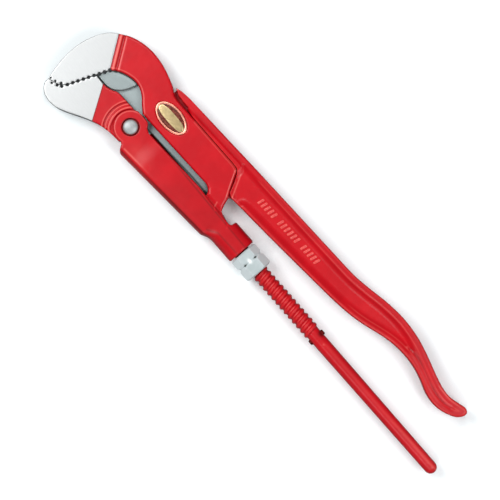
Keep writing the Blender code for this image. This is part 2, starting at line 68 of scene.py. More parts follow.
CHEEK_FACE = 11.0
PLATE_FACE = 8.0
JAW_HALF = 8.5
WEB_HALF = 4.2
LEDGE_TOP = 3.52
BORE = 7.2
SLEEVE_FRONT = -8.5
SHOULDER_FRONT = -98.0
TUBE_FRONT = -108.5
SLEEVE_BACK = -129.0
TUBE_HALF = 11.9
EAR_RADIUS = 13.4
NUT_FRONT = -130.0
NUT_LENGTH = 20.0
NUT_FLATS = 20.5
MOUTH_GAP = 0.06
MOUTH_FOOT = (43.9, -17.0)
MOUTH_KNEE = (57.0, 15.0)
TOOTH_GAP = 1.2
TAIL_RADIUS = 12.6
LAP_RADIUS = 34.2
RIVET_SHANK = 4.6
RIVET_HEAD = 5.7
RIVET_SEAT = 7.0
SEAT_DEPTH = 1.2
EAR_DROP = 0.9
RING_FLOOR = 8.3
CREASE_DEPTH = 0.8
HOOK_REACH = 74.95
RECESS_DRAFT = 0.7
RECESS_SHELF = 6.2
WEB_DRAFT = 0.8
BADGE_CENTRE = (-15.4, -28.2)
BADGE_LENGTH = 15.6
BADGE_WIDTH = 8.9
BADGE_RIM = 2.1
BADGE_BAND = 3.9
BADGE_RISE = 0.35
BADGE_BED = 0.7
BADGE_TROUGH = 0.3
THREAD_END = THREAD_START - THREAD_PITCH * (THREAD_TURNS + 1.0)
PIN_RADIUS = 2.2
PIN_X = THREAD_END - PIN_RADIUS - 1.3
ROD_END_RADIUS = 5.1

# Where the camera looks, and how its picture is turned.
rivet_low, rivet_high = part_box("pivot_rivet")
ORIGIN = (rivet_low + rivet_high) / 2
VIEW_RIGHT = Vector((-0.6587, -0.7524, 0.0))
VIEW_UP = Vector((0.7524, -0.6587, 0.0))
VIEW_CENTRE = ORIGIN + Vector((-132.2, -6.9, PLATE_FACE)) * 0.001
FRAME_WIDTH = 0.3865

COARSE = 1.0


def place(points):
    """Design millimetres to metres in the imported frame."""
    return np.asarray(points, float) * 0.001 + np.array(ORIGIN)


# Outlines


def smooth(points, steps=6):
    """Points on a curve that passes through the given ones."""
    ends = [points[0], *points, points[-1]]
    line = []
    for four in zip(ends, ends[1:], ends[2:], ends[3:]):
        a, b, c, d = (np.array(point, float) for point in four)
        for step in range(steps):
            t = step / steps
            curve = 2 * b + (c - a) * t
            curve += (2 * a - 5 * b + 4 * c - d) * t * t
            curve += (3 * b - a - 3 * c + d) * t**3
            line.append(tuple(0.5 * curve))
    line.append(tuple(points[-1]))
    return line


def arc(centre, radius, start, end, steps):
    """Points on an arc, angles in degrees."""
    angles = np.radians(np.linspace(start, end, steps + 1))
    x, y = centre
    return [(x + radius * math.cos(angle), y + radius * math.sin(angle)) for angle in angles]


def mouth_line(offset):
    """The line that the teeth of both jaws meet on, moved sideways by offset."""
    line = [MOUTH_FOOT] + smooth([MOUTH_KNEE, (60.6, 19.2), (65.2, 21.6), (70.4, 22.8)], 3)
    moved = []
    for index, here in enumerate(line):
        a = np.array(line[max(index - 1, 0)])
        b = np.array(line[min(index + 1, len(line) - 1)])
        along = (b - a) / np.hypot(*(b - a))
        moved.append((here[0] - along[1] * offset, here[1] + along[0] * offset))
    return moved


def tooth_gaps():
    """Centres of the round gaps between the teeth: along the mouth, then either side of it at the tip."""
    foot = np.array(MOUTH_FOOT)
    reach = np.array(MOUTH_KNEE) - foot
    row = [tuple(foot + reach * k / 8) for k in range(9)]
    return row + [(58.9, 19.2), (61.9, 21.3), (65.9, 23.2), (60.9, 18.1), (65.2, 20.4), (69.4, 21.4)]


def lower_jaw_line():
    back = [(-2, 14.2), (8, 15), (17, 17), (25, 20.3), (33, 24.5), (42, 29.8), (50, 33.4), (57, 34.4)]
    tip = smooth([(57, 34.4), (63.5, 33.0), (67.8, 30.0), (70.0, 26.6), (69.9, 23.9)])
    row = mouth_line(0.5 * MOUTH_GAP)[:0:-1] + [(48.3, -6.0)]
    heel = smooth([(46.9, -6.4), (41, -6.2), (36, -6.6), (31, -8.2), (27.5, -10.2), (24, -10.8)])
    return smooth(back)[:-1] + tip[:-1] + row + heel + [(0, -11.2), (-6.5, 10.5)]


def lap_line():
    front = arc((0, 0), LAP_RADIUS, -14.5, -75, 16)
    rest = [(-1.5, -43), (-1.5, -45.6), (-20, -47), (-88, -48), (-93.2, -22.4)]
    return front + rest + [(-90.6, -20.5), (-88.6, -15), (-84, -9), (-76, -6), (-12, -6), (0, -4), (30, -4)]


def leg_line():
    nose = smooth([(-0.9, -45.9), (-0.6, -46.4), (-3.5, -47.5), (-8, -48.4), (-15, -49.1)])
    outer = [
        (-180, -54.1), (-200, -54.8), (-215, -56.9), (-232, -60.0), (-250, -61.6), (-267, -60.4),
        (-283, -56.8), (-299, -51.9), (-311, -48.9), (-320, -48.5), (-329, -50.6), (-334, -51.9),
        (-337.6, -50.4), (-338, -46.6), (-335, -42.0), (-330, -38.8), (-322, -35.8), (-314, -35.0),
        (-305, -36.4), (-294, -40.1), (-283, -42.6), (-271, -43.2), (-258, -41.9), (-246, -38.8),
        (-234, -35.1), (-222, -32.3), (-205, -30.0), (-180, -28.0),
    ]
    front = [(-93.2, -22.4), (-88, -24), (-20, -42), (-5, -43.6)]
    return nose + [(-90, -51.7)] + smooth(outer) + [(-135, -24.8)] + front


def web_line(front):
    """The edge of the leg's channel."""
    rear = [
        (-180, -48.2), (-200, -48.9), (-218, -51.4), (-235, -54.4), (-250, -55.6), (-262, -54.6),
        (-271, -51.8), (-274, -49.6), (-271, -47.7), (-260, -47.0), (-247, -43.7), (-234, -39.6),
        (-220, -36.3), (-203, -33.8), (-180, -31.9),
    ]
    return front + smooth(rear) + [(-106, -27.2), (-102, -26.2)]


def throat():
    points = [(2, -13.8), (7.5, -17.8), (13, -22.3), (19, -25.1), (25, -25.8), (32, -24.3), (38.5, -21.3)]
    return smooth(points + [MOUTH_FOOT])


def hook_back():
    """The outer edge of the hook, from its tip to the nose of the lower leg."""
    points = [
        (70.9, 21.2), (73.2, 12), (74.7, 2), (75.0, -6), (73.8, -17), (70.3, -28.3), (65.6, -36),
        (60.2, -41.0), (53.5, -45.8), (45, -49.3), (35, -51.2), (25, -51.1), (16, -49.6), (8, -47.3),
        (2.5, -45.3), (-1.2, -43.2), (-4.7, -41.4), (-10, -40.8),
    ]
    return smooth(points)


def hook_line():
    plate = [(-74, -40.9), (-78, -40.4), (-80.3, -38.2), (-90.9, -19.2), (-92.4, -15), (-94, -10.7)]
    front = [(-79, -10.7), (-77, -12.3), (-75, -14.2), (-72, -15.0), (-5, -13.6)]
    return mouth_line(-0.5 * MOUTH_GAP) + hook_back() + plate + front + throat()


def neck_line():
    rear = smooth([(-88, -24), (-90.9, -19.2), (-92.4, -15), (-95.2, -10.2), (-100.5, -8.0), (-104, -6)])
    return rear + [(-104, ROD_Y), (-78, ROD_Y), (-78, -9), (-77, -12.3), (-75, -14.2), (-72, -16)]


def lens_line():
    """The low ledge between the throat and the lower jaw."""
    upper = [(22.0, -24.6), (24.3, -18), (27.2, -13), (31.4, -9.0), (36, -7.4), (41, -7.0), (46.9, -7.4)]
    return smooth(upper) + [(50.0, -14), (46, -26), (32, -30), (22.5, -28)]


def sleeve_top(x):
    """Where the folded edge of the sleeve lies."""
    straight = 20.0 + 0.0645 * (x - SLEEVE_FRONT)
    shoulder = np.interp(x, [-110.5, -104.0, SHOULDER_FRONT], [ROD_Y + TUBE_HALF, 12.3, 14.23])
    return np.where(x > SHOULDER_FRONT, straight, shoulder)


def cheek_line():
    """The sleeve's side outline, left open past the fold and round the tube."""
    ear = arc((0, 0), EAR_RADIUS, 104, -68, 40)
    lower = [(-5.5, -12.6), (-7.2, -11.6), (-9.5, -8.9), (-13, -7.4), (-70, -9.6), (-82, -8.6)]
    rear = [(-106, -7.9), (-107.6, -8.3), (-108.4, -9.4), (-108.8, -16.0)]
    rear += [(SLEEVE_BACK, -16.0), (SLEEVE_BACK, 30.0)]
    return ear + lower + rear + [(-9.3, 30.0), (-9.3, 20.0), (-6.7, 16.6), (-5.4, 14.2)]


# Distance functions


def outline_distance(points, x, y):
    """Signed distance from a closed outline, negative inside."""
    x, y = np.broadcast_arrays(x, y)
    nearest = np.full(x.shape, np.inf)
    inside = np.zeros(x.shape, bool)
    for (ax, ay), (bx, by) in zip(points, points[1:] + points[:1]):
        ex = bx - ax
        ey = by - ay
        dx = x - ax
        dy = y - ay
        t = np.clip((dx * ex + dy * ey) / (ex * ex + ey * ey), 0.0, 1.0)
        nearest = np.minimum(nearest, (dx - t * ex) ** 2 + (dy - t * ey) ** 2)
        if ey:
            inside ^= ((ay > y) != (by > y)) & (dx < dy * ex / ey)
    return np.where(inside, -1.0, 1.0) * np.sqrt(nearest)


def path_distance(points, x, y):
    """Distance from an open line."""
    nearest = np.inf
    for (ax, ay), (bx, by) in zip(points, points[1:]):
        ex = bx - ax
        ey = by - ay
        t = np.clip(((x - ax) * ex + (y - ay) * ey) / (ex * ex + ey * ey), 0.0, 1.0)
        nearest = np.minimum(nearest, (x - ax - t * ex) ** 2 + (y - ay - t * ey) ** 2)
    return np.sqrt(nearest)


def ahead(start, end, x, y):
    """Distance to the left of the line from start to end."""
    run = math.hypot(end[0] - start[0], end[1] - start[1])
    return ((y - start[1]) * (end[0] - start[0]) - (x - start[0]) * (end[1] - start[1])) / run


def both(a, b, r):
    """Where a and b overlap, the edge between them rounded by r."""
    return np.minimum(np.maximum(a, b), -r) + np.hypot(np.maximum(a + r, 0.0), np.maximum(b + r, 0.0))


def either(a, b, r):
    """a and b together, the corner between them filled with radius r."""
    return np.maximum(np.minimum(a, b), r) - np.hypot(np.maximum(r - a, 0.0), np.maximum(r - b, 0.0))


def without(a, b, r):
    """a with b cut away, the rim rounded by r."""
    return both(a, -b, r)


def blend_in(value, low, high):
    """0 below low, 1 above high, smooth between."""
    t = np.clip((value - low) / (high - low), 0.0, 1.0)
    return t * t * (3.0 - 2.0 * t)


def profile(value, points):
    """A height that passes smoothly through (value, height) pairs."""
    line = np.array(smooth(points, 8))
    return np.interp(value, line[:, 0], line[:, 1])


def dome(a, b, wide, high):
    """Distance from an elliptical edge: a and b are 0 to 1 across and up."""
    reach = np.maximum(np.hypot(a, b), 0.05)
    slope = np.sqrt((a / wide) ** 2 + (b / high) ** 2) / reach
    return (reach - 1.0) / np.maximum(slope, 1e-4)


# The forged legs and the folded sleeve

# Where ground steel meets enamel on each jaw, and how high the faces stand past that line.
HOOK_BORDER = ((44.2, -17.3), (60.2, -40.4))
JAW_BORDER = ((24.5, 17.5), (39.0, -5.5))
HOOK_STEPS = [
    (-1.0, JAW_HALF), (-0.4, JAW_HALF), (0.1, 8.2), (0.6, 7.95), (1.1, 8.15), (1.7, 8.42),
    (2.2, JAW_HALF), (2.7, 8.4), (3.2, 8.12), (3.7, 7.6), (4.2, 7.05), (4.7, 6.9), (5.2, 7.1),
    (5.7, 7.5), (6.3, 7.8), (7.0, 7.95), (7.8, PLATE_FACE), (8.6, PLATE_FACE),
]
JAW_STEPS = [
    (15.9, TONGUE_HALF), (16.4, TONGUE_HALF), (16.9, 7.25), (17.5, 7.75), (18.2, 8.0), (18.9, 8.0),
    (19.5, 7.6), (20.1, 7.25), (20.7, 7.6), (21.3, 7.95), (21.8, 7.4), (22.3, 7.0), (22.9, 7.5),
    (23.4, 8.2), (24.0, JAW_HALF), (24.8, JAW_HALF),
]
OUTLINES = {
    "hook": hook_line(),
    "lens": lens_line(),
    "neck": neck_line(),
    "far_lap": arc((0, 0), LAP_RADIUS + 1.0, -5, -68, 24) + [(13.2, -70), (-140, -70), (-140, 10)],
    "jaw": lower_jaw_line(),
    "lap": lap_line(),
    "leg": leg_line(),
    "recess": [
        (40, -44.6), (-2.6, -45.3), (-5.7, -43.9), (-12, -43.4), (-60, -45.2), (-77, -45.8), (-82, -44.6),
        (-84.5, -40.6), (-93.2, -23.6), (-95, -15), (40, -15),
    ],
    "near_web": web_line([(-99, -18), (-80, -30), (-80, -46), (-90, -46.4)]),
    "far_web": web_line([(-99, -30), (-90, -46.4)]),
    "cheek": cheek_line(),
    "slot": [
        (TUBE_FRONT + 2, 6.4), (SHOULDER_FRONT, 10.53), (-9, 15.67), (-3, 15.2), (40, 15.2), (40, -40),
        (TUBE_FRONT + 2, -40),
    ],
}
HANDLE_CREASE = smooth(
    [(-268, -50.4), (-280, -49.6), (-292, -46.6), (-304, -43.2), (-316, -41.6), (-326, -43.0)]
)
MOUTH = mouth_line(0.0)
THROAT = throat()
TOOTH_GAPS = tooth_gaps()


def from_outline(name, x, y):
    return outline_distance(OUTLINES[name], x, y)


def tube(x, y, z, radius):
    """Distance from a round bar along the rod's axis."""
    return np.hypot(y - ROD_Y, z) - radius + 0.0 * x


def between(value, low, high):
    return np.maximum(low - value, value - high)


def badge_oval(x, y, growth):
    a = (x - BADGE_CENTRE[0]) / (BADGE_LENGTH + growth)
    b = (y - BADGE_CENTRE[1]) / (BADGE_WIDTH + growth)
    return dome(np.abs(a), np.abs(b), BADGE_LENGTH + growth, BADGE_WIDTH + growth)


def notches(x, y):
    """Distance from the round gaps between the teeth."""
    nearest = np.inf
    for centre_x, centre_y in TOOTH_GAPS:
        radius = TOOTH_GAP - 0.045 * max(0.0, centre_x - 57.0)
        nearest = np.minimum(nearest, np.hypot(x - centre_x, y - centre_y) - radius)
    return nearest


def hook_shape(x, y, z):
    side = from_outline("hook", x, y)
    step = -ahead(*HOOK_BORDER, x, y)
    away = blend_in(path_distance(MOUTH, x, y), 1.0, 6.0)
    round_edge = 0.12 + away * (0.12 + 1.88 * blend_in(step, -1.0, 2.5))
    body = both(side, np.abs(z) - profile(step, HOOK_STEPS), round_edge)
    body = without(body, np.maximum(from_outline("far_lap", x, y), z - GAP), 0.4)
    lens = both(from_outline("lens", x, y), between(z, GAP, LEDGE_TOP), 0.35)
    neck = both(from_outline("neck", x, y), between(z, GAP, TONGUE_HALF), 0.8)
    stub = both(tube(x, y, z, ROD_CREST), between(x, THREAD_START + 3.0, -74.0), 1.2)
    body = either(body, neck, 1.6)
    body = either(body, lens, 0.6)
    body = either(body, stub, 2.5)
    body = without(body, np.maximum(badge_oval(x, y, GAP), PLATE_FACE - 0.8 - z), 0.25)
    body = np.maximum(body, x - HOOK_REACH)
    return without(body, notches(x, y) + 0.0 * z, 0.2)


def hook_bare(x, y, z):
    """How far a point lies inside the hook's bright steel."""
    ledge = np.minimum(LEDGE_TOP + 0.5 - z, -from_outline("lens", x, y) + 0.6)
    return np.maximum(ahead(*HOOK_BORDER, x, y), ledge)


def leg_rounding(x, y):
    """The leg's long edges are rounded, but not beside the hook leg."""
    beside = blend_in(y, -46.0, -43.0) * blend_in(x, -104.0, -98.0)
    return 0.35 + 1.9 * blend_in(-x, 4.0, 60.0) * (1.0 - beside)


def channel(name, x, y, up):
    """The hollow in one face of the leg, with sloping walls and a rounded floor."""
    wall = from_outline(name, x, y) + WEB_DRAFT * (PLATE_FACE - up) - 0.8
    return both(wall, WEB_HALF - up, 3.0)


def ring_reach(x, y):
    """Distance from the centre of the stepped ridges, which lies a little off the rivet's."""
    return np.hypot(x + 3.0, y - 1.0)


def leg_shape(x, y, z):
    side = from_outline("jaw", x, y)
    reach = np.hypot(x, y)
    bright = blend_in(ahead(*JAW_BORDER, x, y), -3.0, 3.0)
    round_edge = 0.12 + (1.5 - 1.35 * bright) * blend_in(path_distance(MOUTH, x, y), 1.0, 6.0)
    jaw = both(side, np.abs(z) - profile(ring_reach(x, y), JAW_STEPS), round_edge)
    jaw = without(jaw, notches(x, y) + 0.0 * z, 0.2)
    tail = both(reach - TAIL_RADIUS, np.abs(z) - TONGUE_HALF + 0.03, 0.5)
    plate = both(from_outline("lap", x, y), between(z, -PLATE_FACE, -GAP), 0.4)
    room = np.maximum(between(x, -120.0, 24.0), np.maximum(-14.0 - y, z + TONGUE_HALF))
    plate = without(plate, room, 0.3)
    rod_room = np.maximum(tube(x, y, z, ROD_CREST + 0.9), between(x, -130.0, -TAIL_RADIUS - 1.0))
    plate = without(plate, rod_room, 0.3)
    crease = CREASE_DEPTH * np.exp(-((path_distance(HANDLE_CREASE, x, y) / 1.7) ** 2))
    leg = both(from_outline("leg", x, y), np.abs(z) - PLATE_FACE + crease, leg_rounding(x, y))
    recess = from_outline("recess", x, y)
    shelf = both(recess + RECESS_DRAFT * (PLATE_FACE - z), RECESS_SHELF - z, 0.8)
    deep = both(np.maximum(recess, from_outline("hook", x, y) - 0.4), -GAP - z, 0.3)
    open_nose = both(np.maximum(recess, -18.0 - x), -GAP - z, 0.3)
    leg = without(leg, np.minimum(np.minimum(shelf, deep), open_nose), 1.2)
    leg = without(leg, channel("near_web", x, y, z), 1.8)
    leg = without(leg, channel("far_web", x, y, -z), 1.8)
    body = np.minimum(jaw, tail)
    body = either(body, plate, 0.5)
    body = either(body, leg, 0.5)
    return np.maximum(body, RIVET_SHANK + GAP - reach)


def leg_bare(x, y, z):
    """How far a point lies inside the lower leg's bright steel."""
    floor = np.minimum(0.75 - np.abs(z + GAP), np.minimum(y + 34.0, x + 80.0))
    return np.maximum(ahead(*JAW_BORDER, x, y), floor)


def sleeve_shape(x, y, z):
    top = sleeve_top(x)
    band = np.interp(x, [-104.0, -60.0, -9.0], [3.0, 3.6, 4.9])
    middle = 0.5 * (top - band - 8.0)
    crown = 0.5 * ((y - middle) / (0.5 * (top - band + 8.0))) ** 2
    face = CHEEK_FACE - crown * blend_in(-x, 10.0, 30.0) - EAR_DROP * blend_in(x, -31.0, -17.0)
    fold = dome(np.maximum(0.0, 1.0 - (top - y) / band), np.abs(z) / face, band, CHEEK_FACE)
    ear = np.abs(z) - face
    fold = fold + (ear - fold) * blend_in(x, -9.0, -5.0)
    barrel = dome(np.abs(y - ROD_Y) / TUBE_HALF, np.abs(z) / CHEEK_FACE, TUBE_HALF, CHEEK_FACE)
    fold = fold + (barrel - fold) * blend_in(-x, 97.0, 109.0)
    body = both(from_outline("cheek", x, y), fold, 1.3)
    body = without(body, both(from_outline("slot", x, y), np.abs(z) - SLOT_HALF, 1.0), 0.4)
    body = without(body, np.maximum(tube(x, y, z, BORE), x - TUBE_FRONT - 6.0), 0.5)
    reach = np.hypot(x, y)
    seat = np.maximum(reach - RIVET_SEAT, CHEEK_FACE - SEAT_DEPTH - np.abs(z))
    body = without(body, seat, 0.35)
    ring = np.maximum(np.abs(reach - 0.5 * (RIVET_SEAT + RIVET_HEAD)) - 0.6, RING_FLOOR - np.abs(z))
    body = np.maximum(body, -ring)
    return np.maximum(body, RIVET_SHANK + GAP - reach)


def hexagon(across, up):
    """Distance outside the nut's flats."""
    sides = np.abs(up)
    for angle in (60, -60):
        tilt = math.radians(angle)
        sides = np.maximum(sides, np.abs(up * math.cos(tilt) + across * math.sin(tilt)))
    return sides - 0.5 * NUT_FLATS


def nut_shape(x, y, z):
    across = y - ROD_Y
    along = NUT_FRONT - x
    corner = NUT_FLATS / math.sqrt(3.0)
    turned = [
        (0.0, corner - 1.6), (1.5, corner + 0.2), (6.9, corner + 0.2), (8.2, 10.6), (9.0, 9.9), (9.8, 10.6),
        (11.1, corner + 0.2), (18.5, corner + 0.2), (NUT_LENGTH, corner - 1.9),
    ]
    round_part = np.hypot(across, z) - np.interp(along, *np.array(turned).T)
    body = both(hexagon(across, z), round_part * 0.8, 0.35)
    body = both(body, between(along, 0.0, NUT_LENGTH), 0.4)
    return without(body, tube(x, y, z, BORE), 0.8)


# Painted highlights and painted shade: above 0 the colour is painted lighter, below 0 darker


def stripe(distance, centre, half, strength):
    return strength * np.exp(-(((distance - centre) / half) ** 2))


# A painted line of light or shade along a path.
def painted_line(points, x, y, half, strength):
    return stripe(path_distance(points, x, y), 0.0, half, strength)


def spot(across, up, half, strength):
    return stripe(np.hypot(across, up), 0.0, half, strength)


# Painted highlights and painted shade on the hook: light and dark lines across the rib, along the throat's
# rim and the rear edges, and darker at the ledge's height.
def hook_tone(x, y, z):
    step = -ahead(*HOOK_BORDER, x, y)
    front = blend_in(x, 8.0, 24.0) * blend_in(-y, 16.0, 22.0)
    rib = stripe(step, 2.4, 0.9, 0.75) + stripe(step, 4.7, 0.65, -0.6) + stripe(step, 6.6, 0.55, 0.5)
    rim = path_distance(THROAT, x, y)
    edge = stripe(rim, 1.9, 0.6, 0.4) + stripe(rim, 0.0, 0.7, -0.7)
    rear = path_distance([(-89.5, -22.0), (-80.0, -38.6)], x, y)
    low = path_distance([(-80.0, -38.8), (-74.0, -40.0), (-30.0, -40.0)], x, y)
    edges = stripe(rear, 1.3, 0.5, 0.5) + stripe(low, 0.6, 0.6, 0.3)
    edges += painted_line([(-88.8, -8.6), (-87.6, -12.0)], x, y, 0.6, 0.5)
    return rib * front + edge + edges + stripe(z, 3.5, 0.5, -0.22)


# Painted highlights and painted shade on the lower leg: light and dark rings on the jaw's steps, lines along
# the leg's edges and channel, a dark line and a painted glint at the handle end, dark edges on the grey
# strip between the parts, and a light line at the slanted wall.
def leg_tone(x, y, z):
    reach = ring_reach(x, y)
    rings = stripe(reach, 16.9, 0.6, -0.45) + stripe(reach, 18.5, 0.8, 0.5) + stripe(reach, 20.1, 0.5, -0.3)
    rings += stripe(reach, 21.2, 0.6, 0.6) + stripe(reach, 22.4, 0.6, -0.6) + stripe(reach, 23.9, 0.6, 0.55)
    rings *= blend_in(np.abs(z), 5.0, 6.5)
    border = ahead(*JAW_BORDER, x, y)
    depth = -from_outline("leg", x, y)
    behind = blend_in(-x, 92.0, 100.0)
    outer = blend_in(-y - 0.11 * np.minimum(x + 180.0, 0.0), 38.0, 42.0)
    lines = stripe(depth, 1.2, 0.7, 0.22) + stripe(depth, 3.0, 0.6, -0.28)
    lines += stripe(depth, 4.9, 0.55, 0.3 * outer) + stripe(depth, 6.6, 0.6, -0.22 * outer)
    crease = painted_line(HANDLE_CREASE, x, y, 1.3, -0.3) + spot(x + 269.0, y + 49.6, 1.3, 0.7)
    crease += painted_line([(-334.0, -49.3), (-322.0, -46.8), (-306.0, -47.2)], x, y, 0.8, 0.3)
    wedge = painted_line([(-8.0, -8.6), (-60.0, -10.6), (-78.0, -10.2)], x, y, 0.9, -0.8)
    wedge += painted_line([(-8.0, -14.3), (-70.0, -15.8), (-78.0, -12.0)], x, y, 0.9, -0.7)
    wedge += spot(x + 9.0, y + 11.5, 3.0, -0.5) + spot(x + 77.0, y + 10.5, 2.0, -0.6)
    wedge *= blend_in(-z, -3.0, -1.0)
    shelf = blend_in(-y, 40.0, 42.0) * blend_in(-x, 1.0, 6.0) * blend_in(x, -84.0, -78.0)
    shelf = shelf * (stripe(depth, 2.2, 0.8, 0.12) + stripe(depth, 4.6, 0.9, -0.3))
    rings = rings * blend_in(-border, 0.0, 1.0) * blend_in(x, 0.0, 4.0)
    rear = painted_line([(-92.8, -22.8), (-83.5, -40.2)], x, y, 0.55, 0.55)
    return rings + behind * (lines + crease) + wedge + shelf + rear


# Painted highlights and painted shade on the sleeve: a dark band and light lines along the fold, a light rim
# on the ear, a dark ring round the rivet's seat, a painted sheen near the front, darker towards the rear,
# and lines along the folds and the lower edge.
def sleeve_tone(x, y, z):
    reach = np.hypot(x, y)
    below = sleeve_top(x) - y
    along = blend_in(x, -106.0, -96.0) * blend_in(-x, 8.6, 9.4)
    front = blend_in(x, -36.0, -14.0)
    band = stripe(below, 0.3, 0.5, 0.35) + stripe(below, 2.3, 0.85, -0.55 - 0.15 * front)
    band += stripe(below, 5.2, 0.8, 0.12 + 0.25 * front)
    ear = stripe(reach, 12.3, 0.6, 0.4) * blend_in(x, -7.0, 0.0) + stripe(reach, 6.6, 0.75, -0.95)
    glow = np.exp(-(((x + 20.0) / 13.0) ** 2) - ((y - 9.0) / 9.0) ** 2) * 0.2
    glow -= 0.26 * blend_in(-x, 34.0, 60.0) * blend_in(x, -106.0, -98.0)
    glow -= 0.16 * blend_in(-x, 98.0, 106.0)
    fold = painted_line([(-128.0, 2.5), (-106.0, 3.0), (-98.5, 8.0)], x, y, 0.7, -0.3)
    fold += painted_line([(-128.0, 4.3), (-107.0, 4.8), (-100.0, 9.6)], x, y, 0.6, 0.2)
    fold += painted_line([(-108.0, -4.5), (-105.6, -7.0)], x, y, 0.5, 0.5)
    fold += painted_line([(-91.5, -6.6), (-88.6, -8.4)], x, y, 0.6, 0.5)
    lower = stripe(y + 0.025 * (x + 40.0), -7.6, 0.7, -0.35) * blend_in(-x, 12.0, 20.0)
    return band * along + ear + glow + fold + lower


def nut_tone(x, y, z):
    """Painted shade deep in the waist and at the ends, painted highlights along the corners, and a painted
    glint.
    """
    across = y - ROD_Y
    ends = stripe(x, -130.7, 0.6, -0.35) + stripe(x, -149.4, 0.6, -0.35)
    corner = stripe(np.abs(np.abs(across) - 5.9), 0.0, 0.7, 0.25) * blend_in(np.abs(z), 8.0, 10.0)
    glint = spot(0.6 * (x + 138.5), y + 1.0, 1.5, 0.9) * blend_in(z, 8.0, 9.5)
    waist = blend_in(-hexagon(across, z), 0.45, 1.3) * blend_in(np.hypot(across, z), 8.5, 9.2)
    return ends + corner + glint - 0.95 * waist * stripe(x, -139.0, 2.2, 1.0)


def rod_tone(x, y, z):
    """Darker round the cross pin, painted highlights on the thread roots and along the handle, and a painted
    glint.
    """
    pin_dark = spot(x - PIN_X, y - ROD_Y + 4.8, 3.0, -1.0) + spot(x - PIN_X, y - ROD_Y - 6.0, 1.5, -0.5)
    turn = (THREAD_START - x) / THREAD_PITCH + np.arctan2(z, y - ROD_Y) / (2.0 * np.pi)
    root = stripe(0.5 - np.abs(turn % 1.0 - 0.5), 0.0, 0.07, 0.4)
    root = root * blend_in(z, 3.5, 5.0) * blend_in(x, -213.0, -210.0)
    line = stripe(y - ROD_Y, -1.9, 1.2, 0.16 + 0.16 * blend_in(-x, 290.0, 330.0))
    line = line * blend_in(-x, 222.0, 228.0) * blend_in(z, 0.0, 2.0)
    return pin_dark + root + line + spot(x + 225.0, y + 1.5, 1.0, 0.4)


# Meshing


def grid_lines(*spans):
    """Grid lines through (start, end, step) spans that follow one another."""
    lines = []
    for start, end, step in spans:
        count = max(2, round((end - start) / (step * COARSE)))
        lines.extend(np.linspace(start, end, count, endpoint=False))
    lines.append(spans[-1][1])
    return np.array(lines)


def crossings(value, lines, cells):
    """For each cell, the mean point where its edges cross zero."""
    total = np.zeros((len(cells[0]), 3))
    count = np.zeros(len(cells[0]))
    for axis in range(3):
        for first in (0, 1):
            for second in (0, 1):
                low = [0, 0, 0]
                low[(axis + 1) % 3] = first
                low[(axis + 2) % 3] = second
                high = list(low)
                high[axis] = 1
                at_low = tuple(cell + offset for cell, offset in zip(cells, low))
                at_high = tuple(cell + offset for cell, offset in zip(cells, high))
                a = value[at_low]
                b = value[at_high]
                hit = (a < 0) != (b < 0)
                t = np.where(hit, a / np.where(hit, a - b, 1.0), 0.0)
                for k in range(3):
                    start = lines[k][at_low[k]]
                    total[:, k] += np.where(hit, start + t * (lines[k][at_high[k]] - start), 0.0)
                count += hit
    return total / count[:, None]


def surface(shape, xs, ys, zs):
    """Vertices and quads of the surface where shape is zero."""
    value = shape(xs[:, None, None], ys[None, :, None], zs[None, None, :])
    value = np.broadcast_to(value, (len(xs), len(ys), len(zs)))
    inside = value < 0
    corners = np.zeros([n - 1 for n in value.shape], np.int8)
    nx, ny, nz = corners.shape
    for i in (0, 1):
        for j in (0, 1):
            for k in (0, 1):
                corners += inside[i : i + nx, j : j + ny, k : k + nz]
    mixed = (corners > 0) & (corners < 8)
    number = np.full(corners.shape, -1)
    number[mixed] = np.arange(mixed.sum())
    points = crossings(value, (xs, ys, zs), np.nonzero(mixed))
    quads = []
    for axis in range(3):
        u = (axis + 1) % 3
        v = (axis + 2) % 3
        inner = [slice(1, -1)] * 3
        low = list(inner)
        high = list(inner)
        low[axis] = slice(0, -1)
        high[axis] = slice(1, None)
        starts = inside[tuple(low)]
        ends = inside[tuple(high)]
        change = np.nonzero(starts != ends)
        forward = starts[change]
        cell = [index + 1 for index in change]
        cell[axis] = change[axis]
        around = []
        for du, dv in ((-1, -1), (0, -1), (0, 0), (-1, 0)):
            there = list(cell)
            there[u] = cell[u] + du
            there[v] = cell[v] + dv
            around.append(number[tuple(there)])
        ring = np.stack(around, 1)
        quads.append(np.where(forward[:, None], ring, ring[:, ::-1]))
    points = settle(shape, points, 0.25 * min(np.diff(zs).min(), np.diff(ys).min()))
    return points, np.concatenate(quads).tolist()


def settle(shape, points, most):
    """Moves the vertices onto the surface, each by a small step."""
    tiny = 0.02
    for _ in range(2):
        x, y, z = points.T
        value = shape(x, y, z)
        nearby = [shape(x + tiny, y, z), shape(x, y + tiny, z), shape(x, y, z + tiny)]
        slope = (np.stack(nearby, 1) - value[:, None]) / tiny
        steepness = np.maximum((slope**2).sum(1), 0.2)
        step = -slope * (value / steepness)[:, None]
        length = np.maximum(np.sqrt((step**2).sum(1)), 1e-9)
        points = points + step * np.minimum(1.0, most / length)[:, None]
    return points


def read(items, key, width, kind=float):
    """A value of every item of a mesh, as rows of width numbers."""
    values = np.zeros(len(items) * width, kind)
    items.foreach_get(key, values)
    return values.reshape(-1, width)


def store(mesh, name, values):
    stored = mesh.attributes.new(name, "FLOAT", "POINT")
    stored.data.foreach_set("value", values.astype(np.float32))


def add_object(name, data):
    made = bpy.data.objects.new(name, data)
    bpy.context.scene.collection.objects.link(made)
    return made


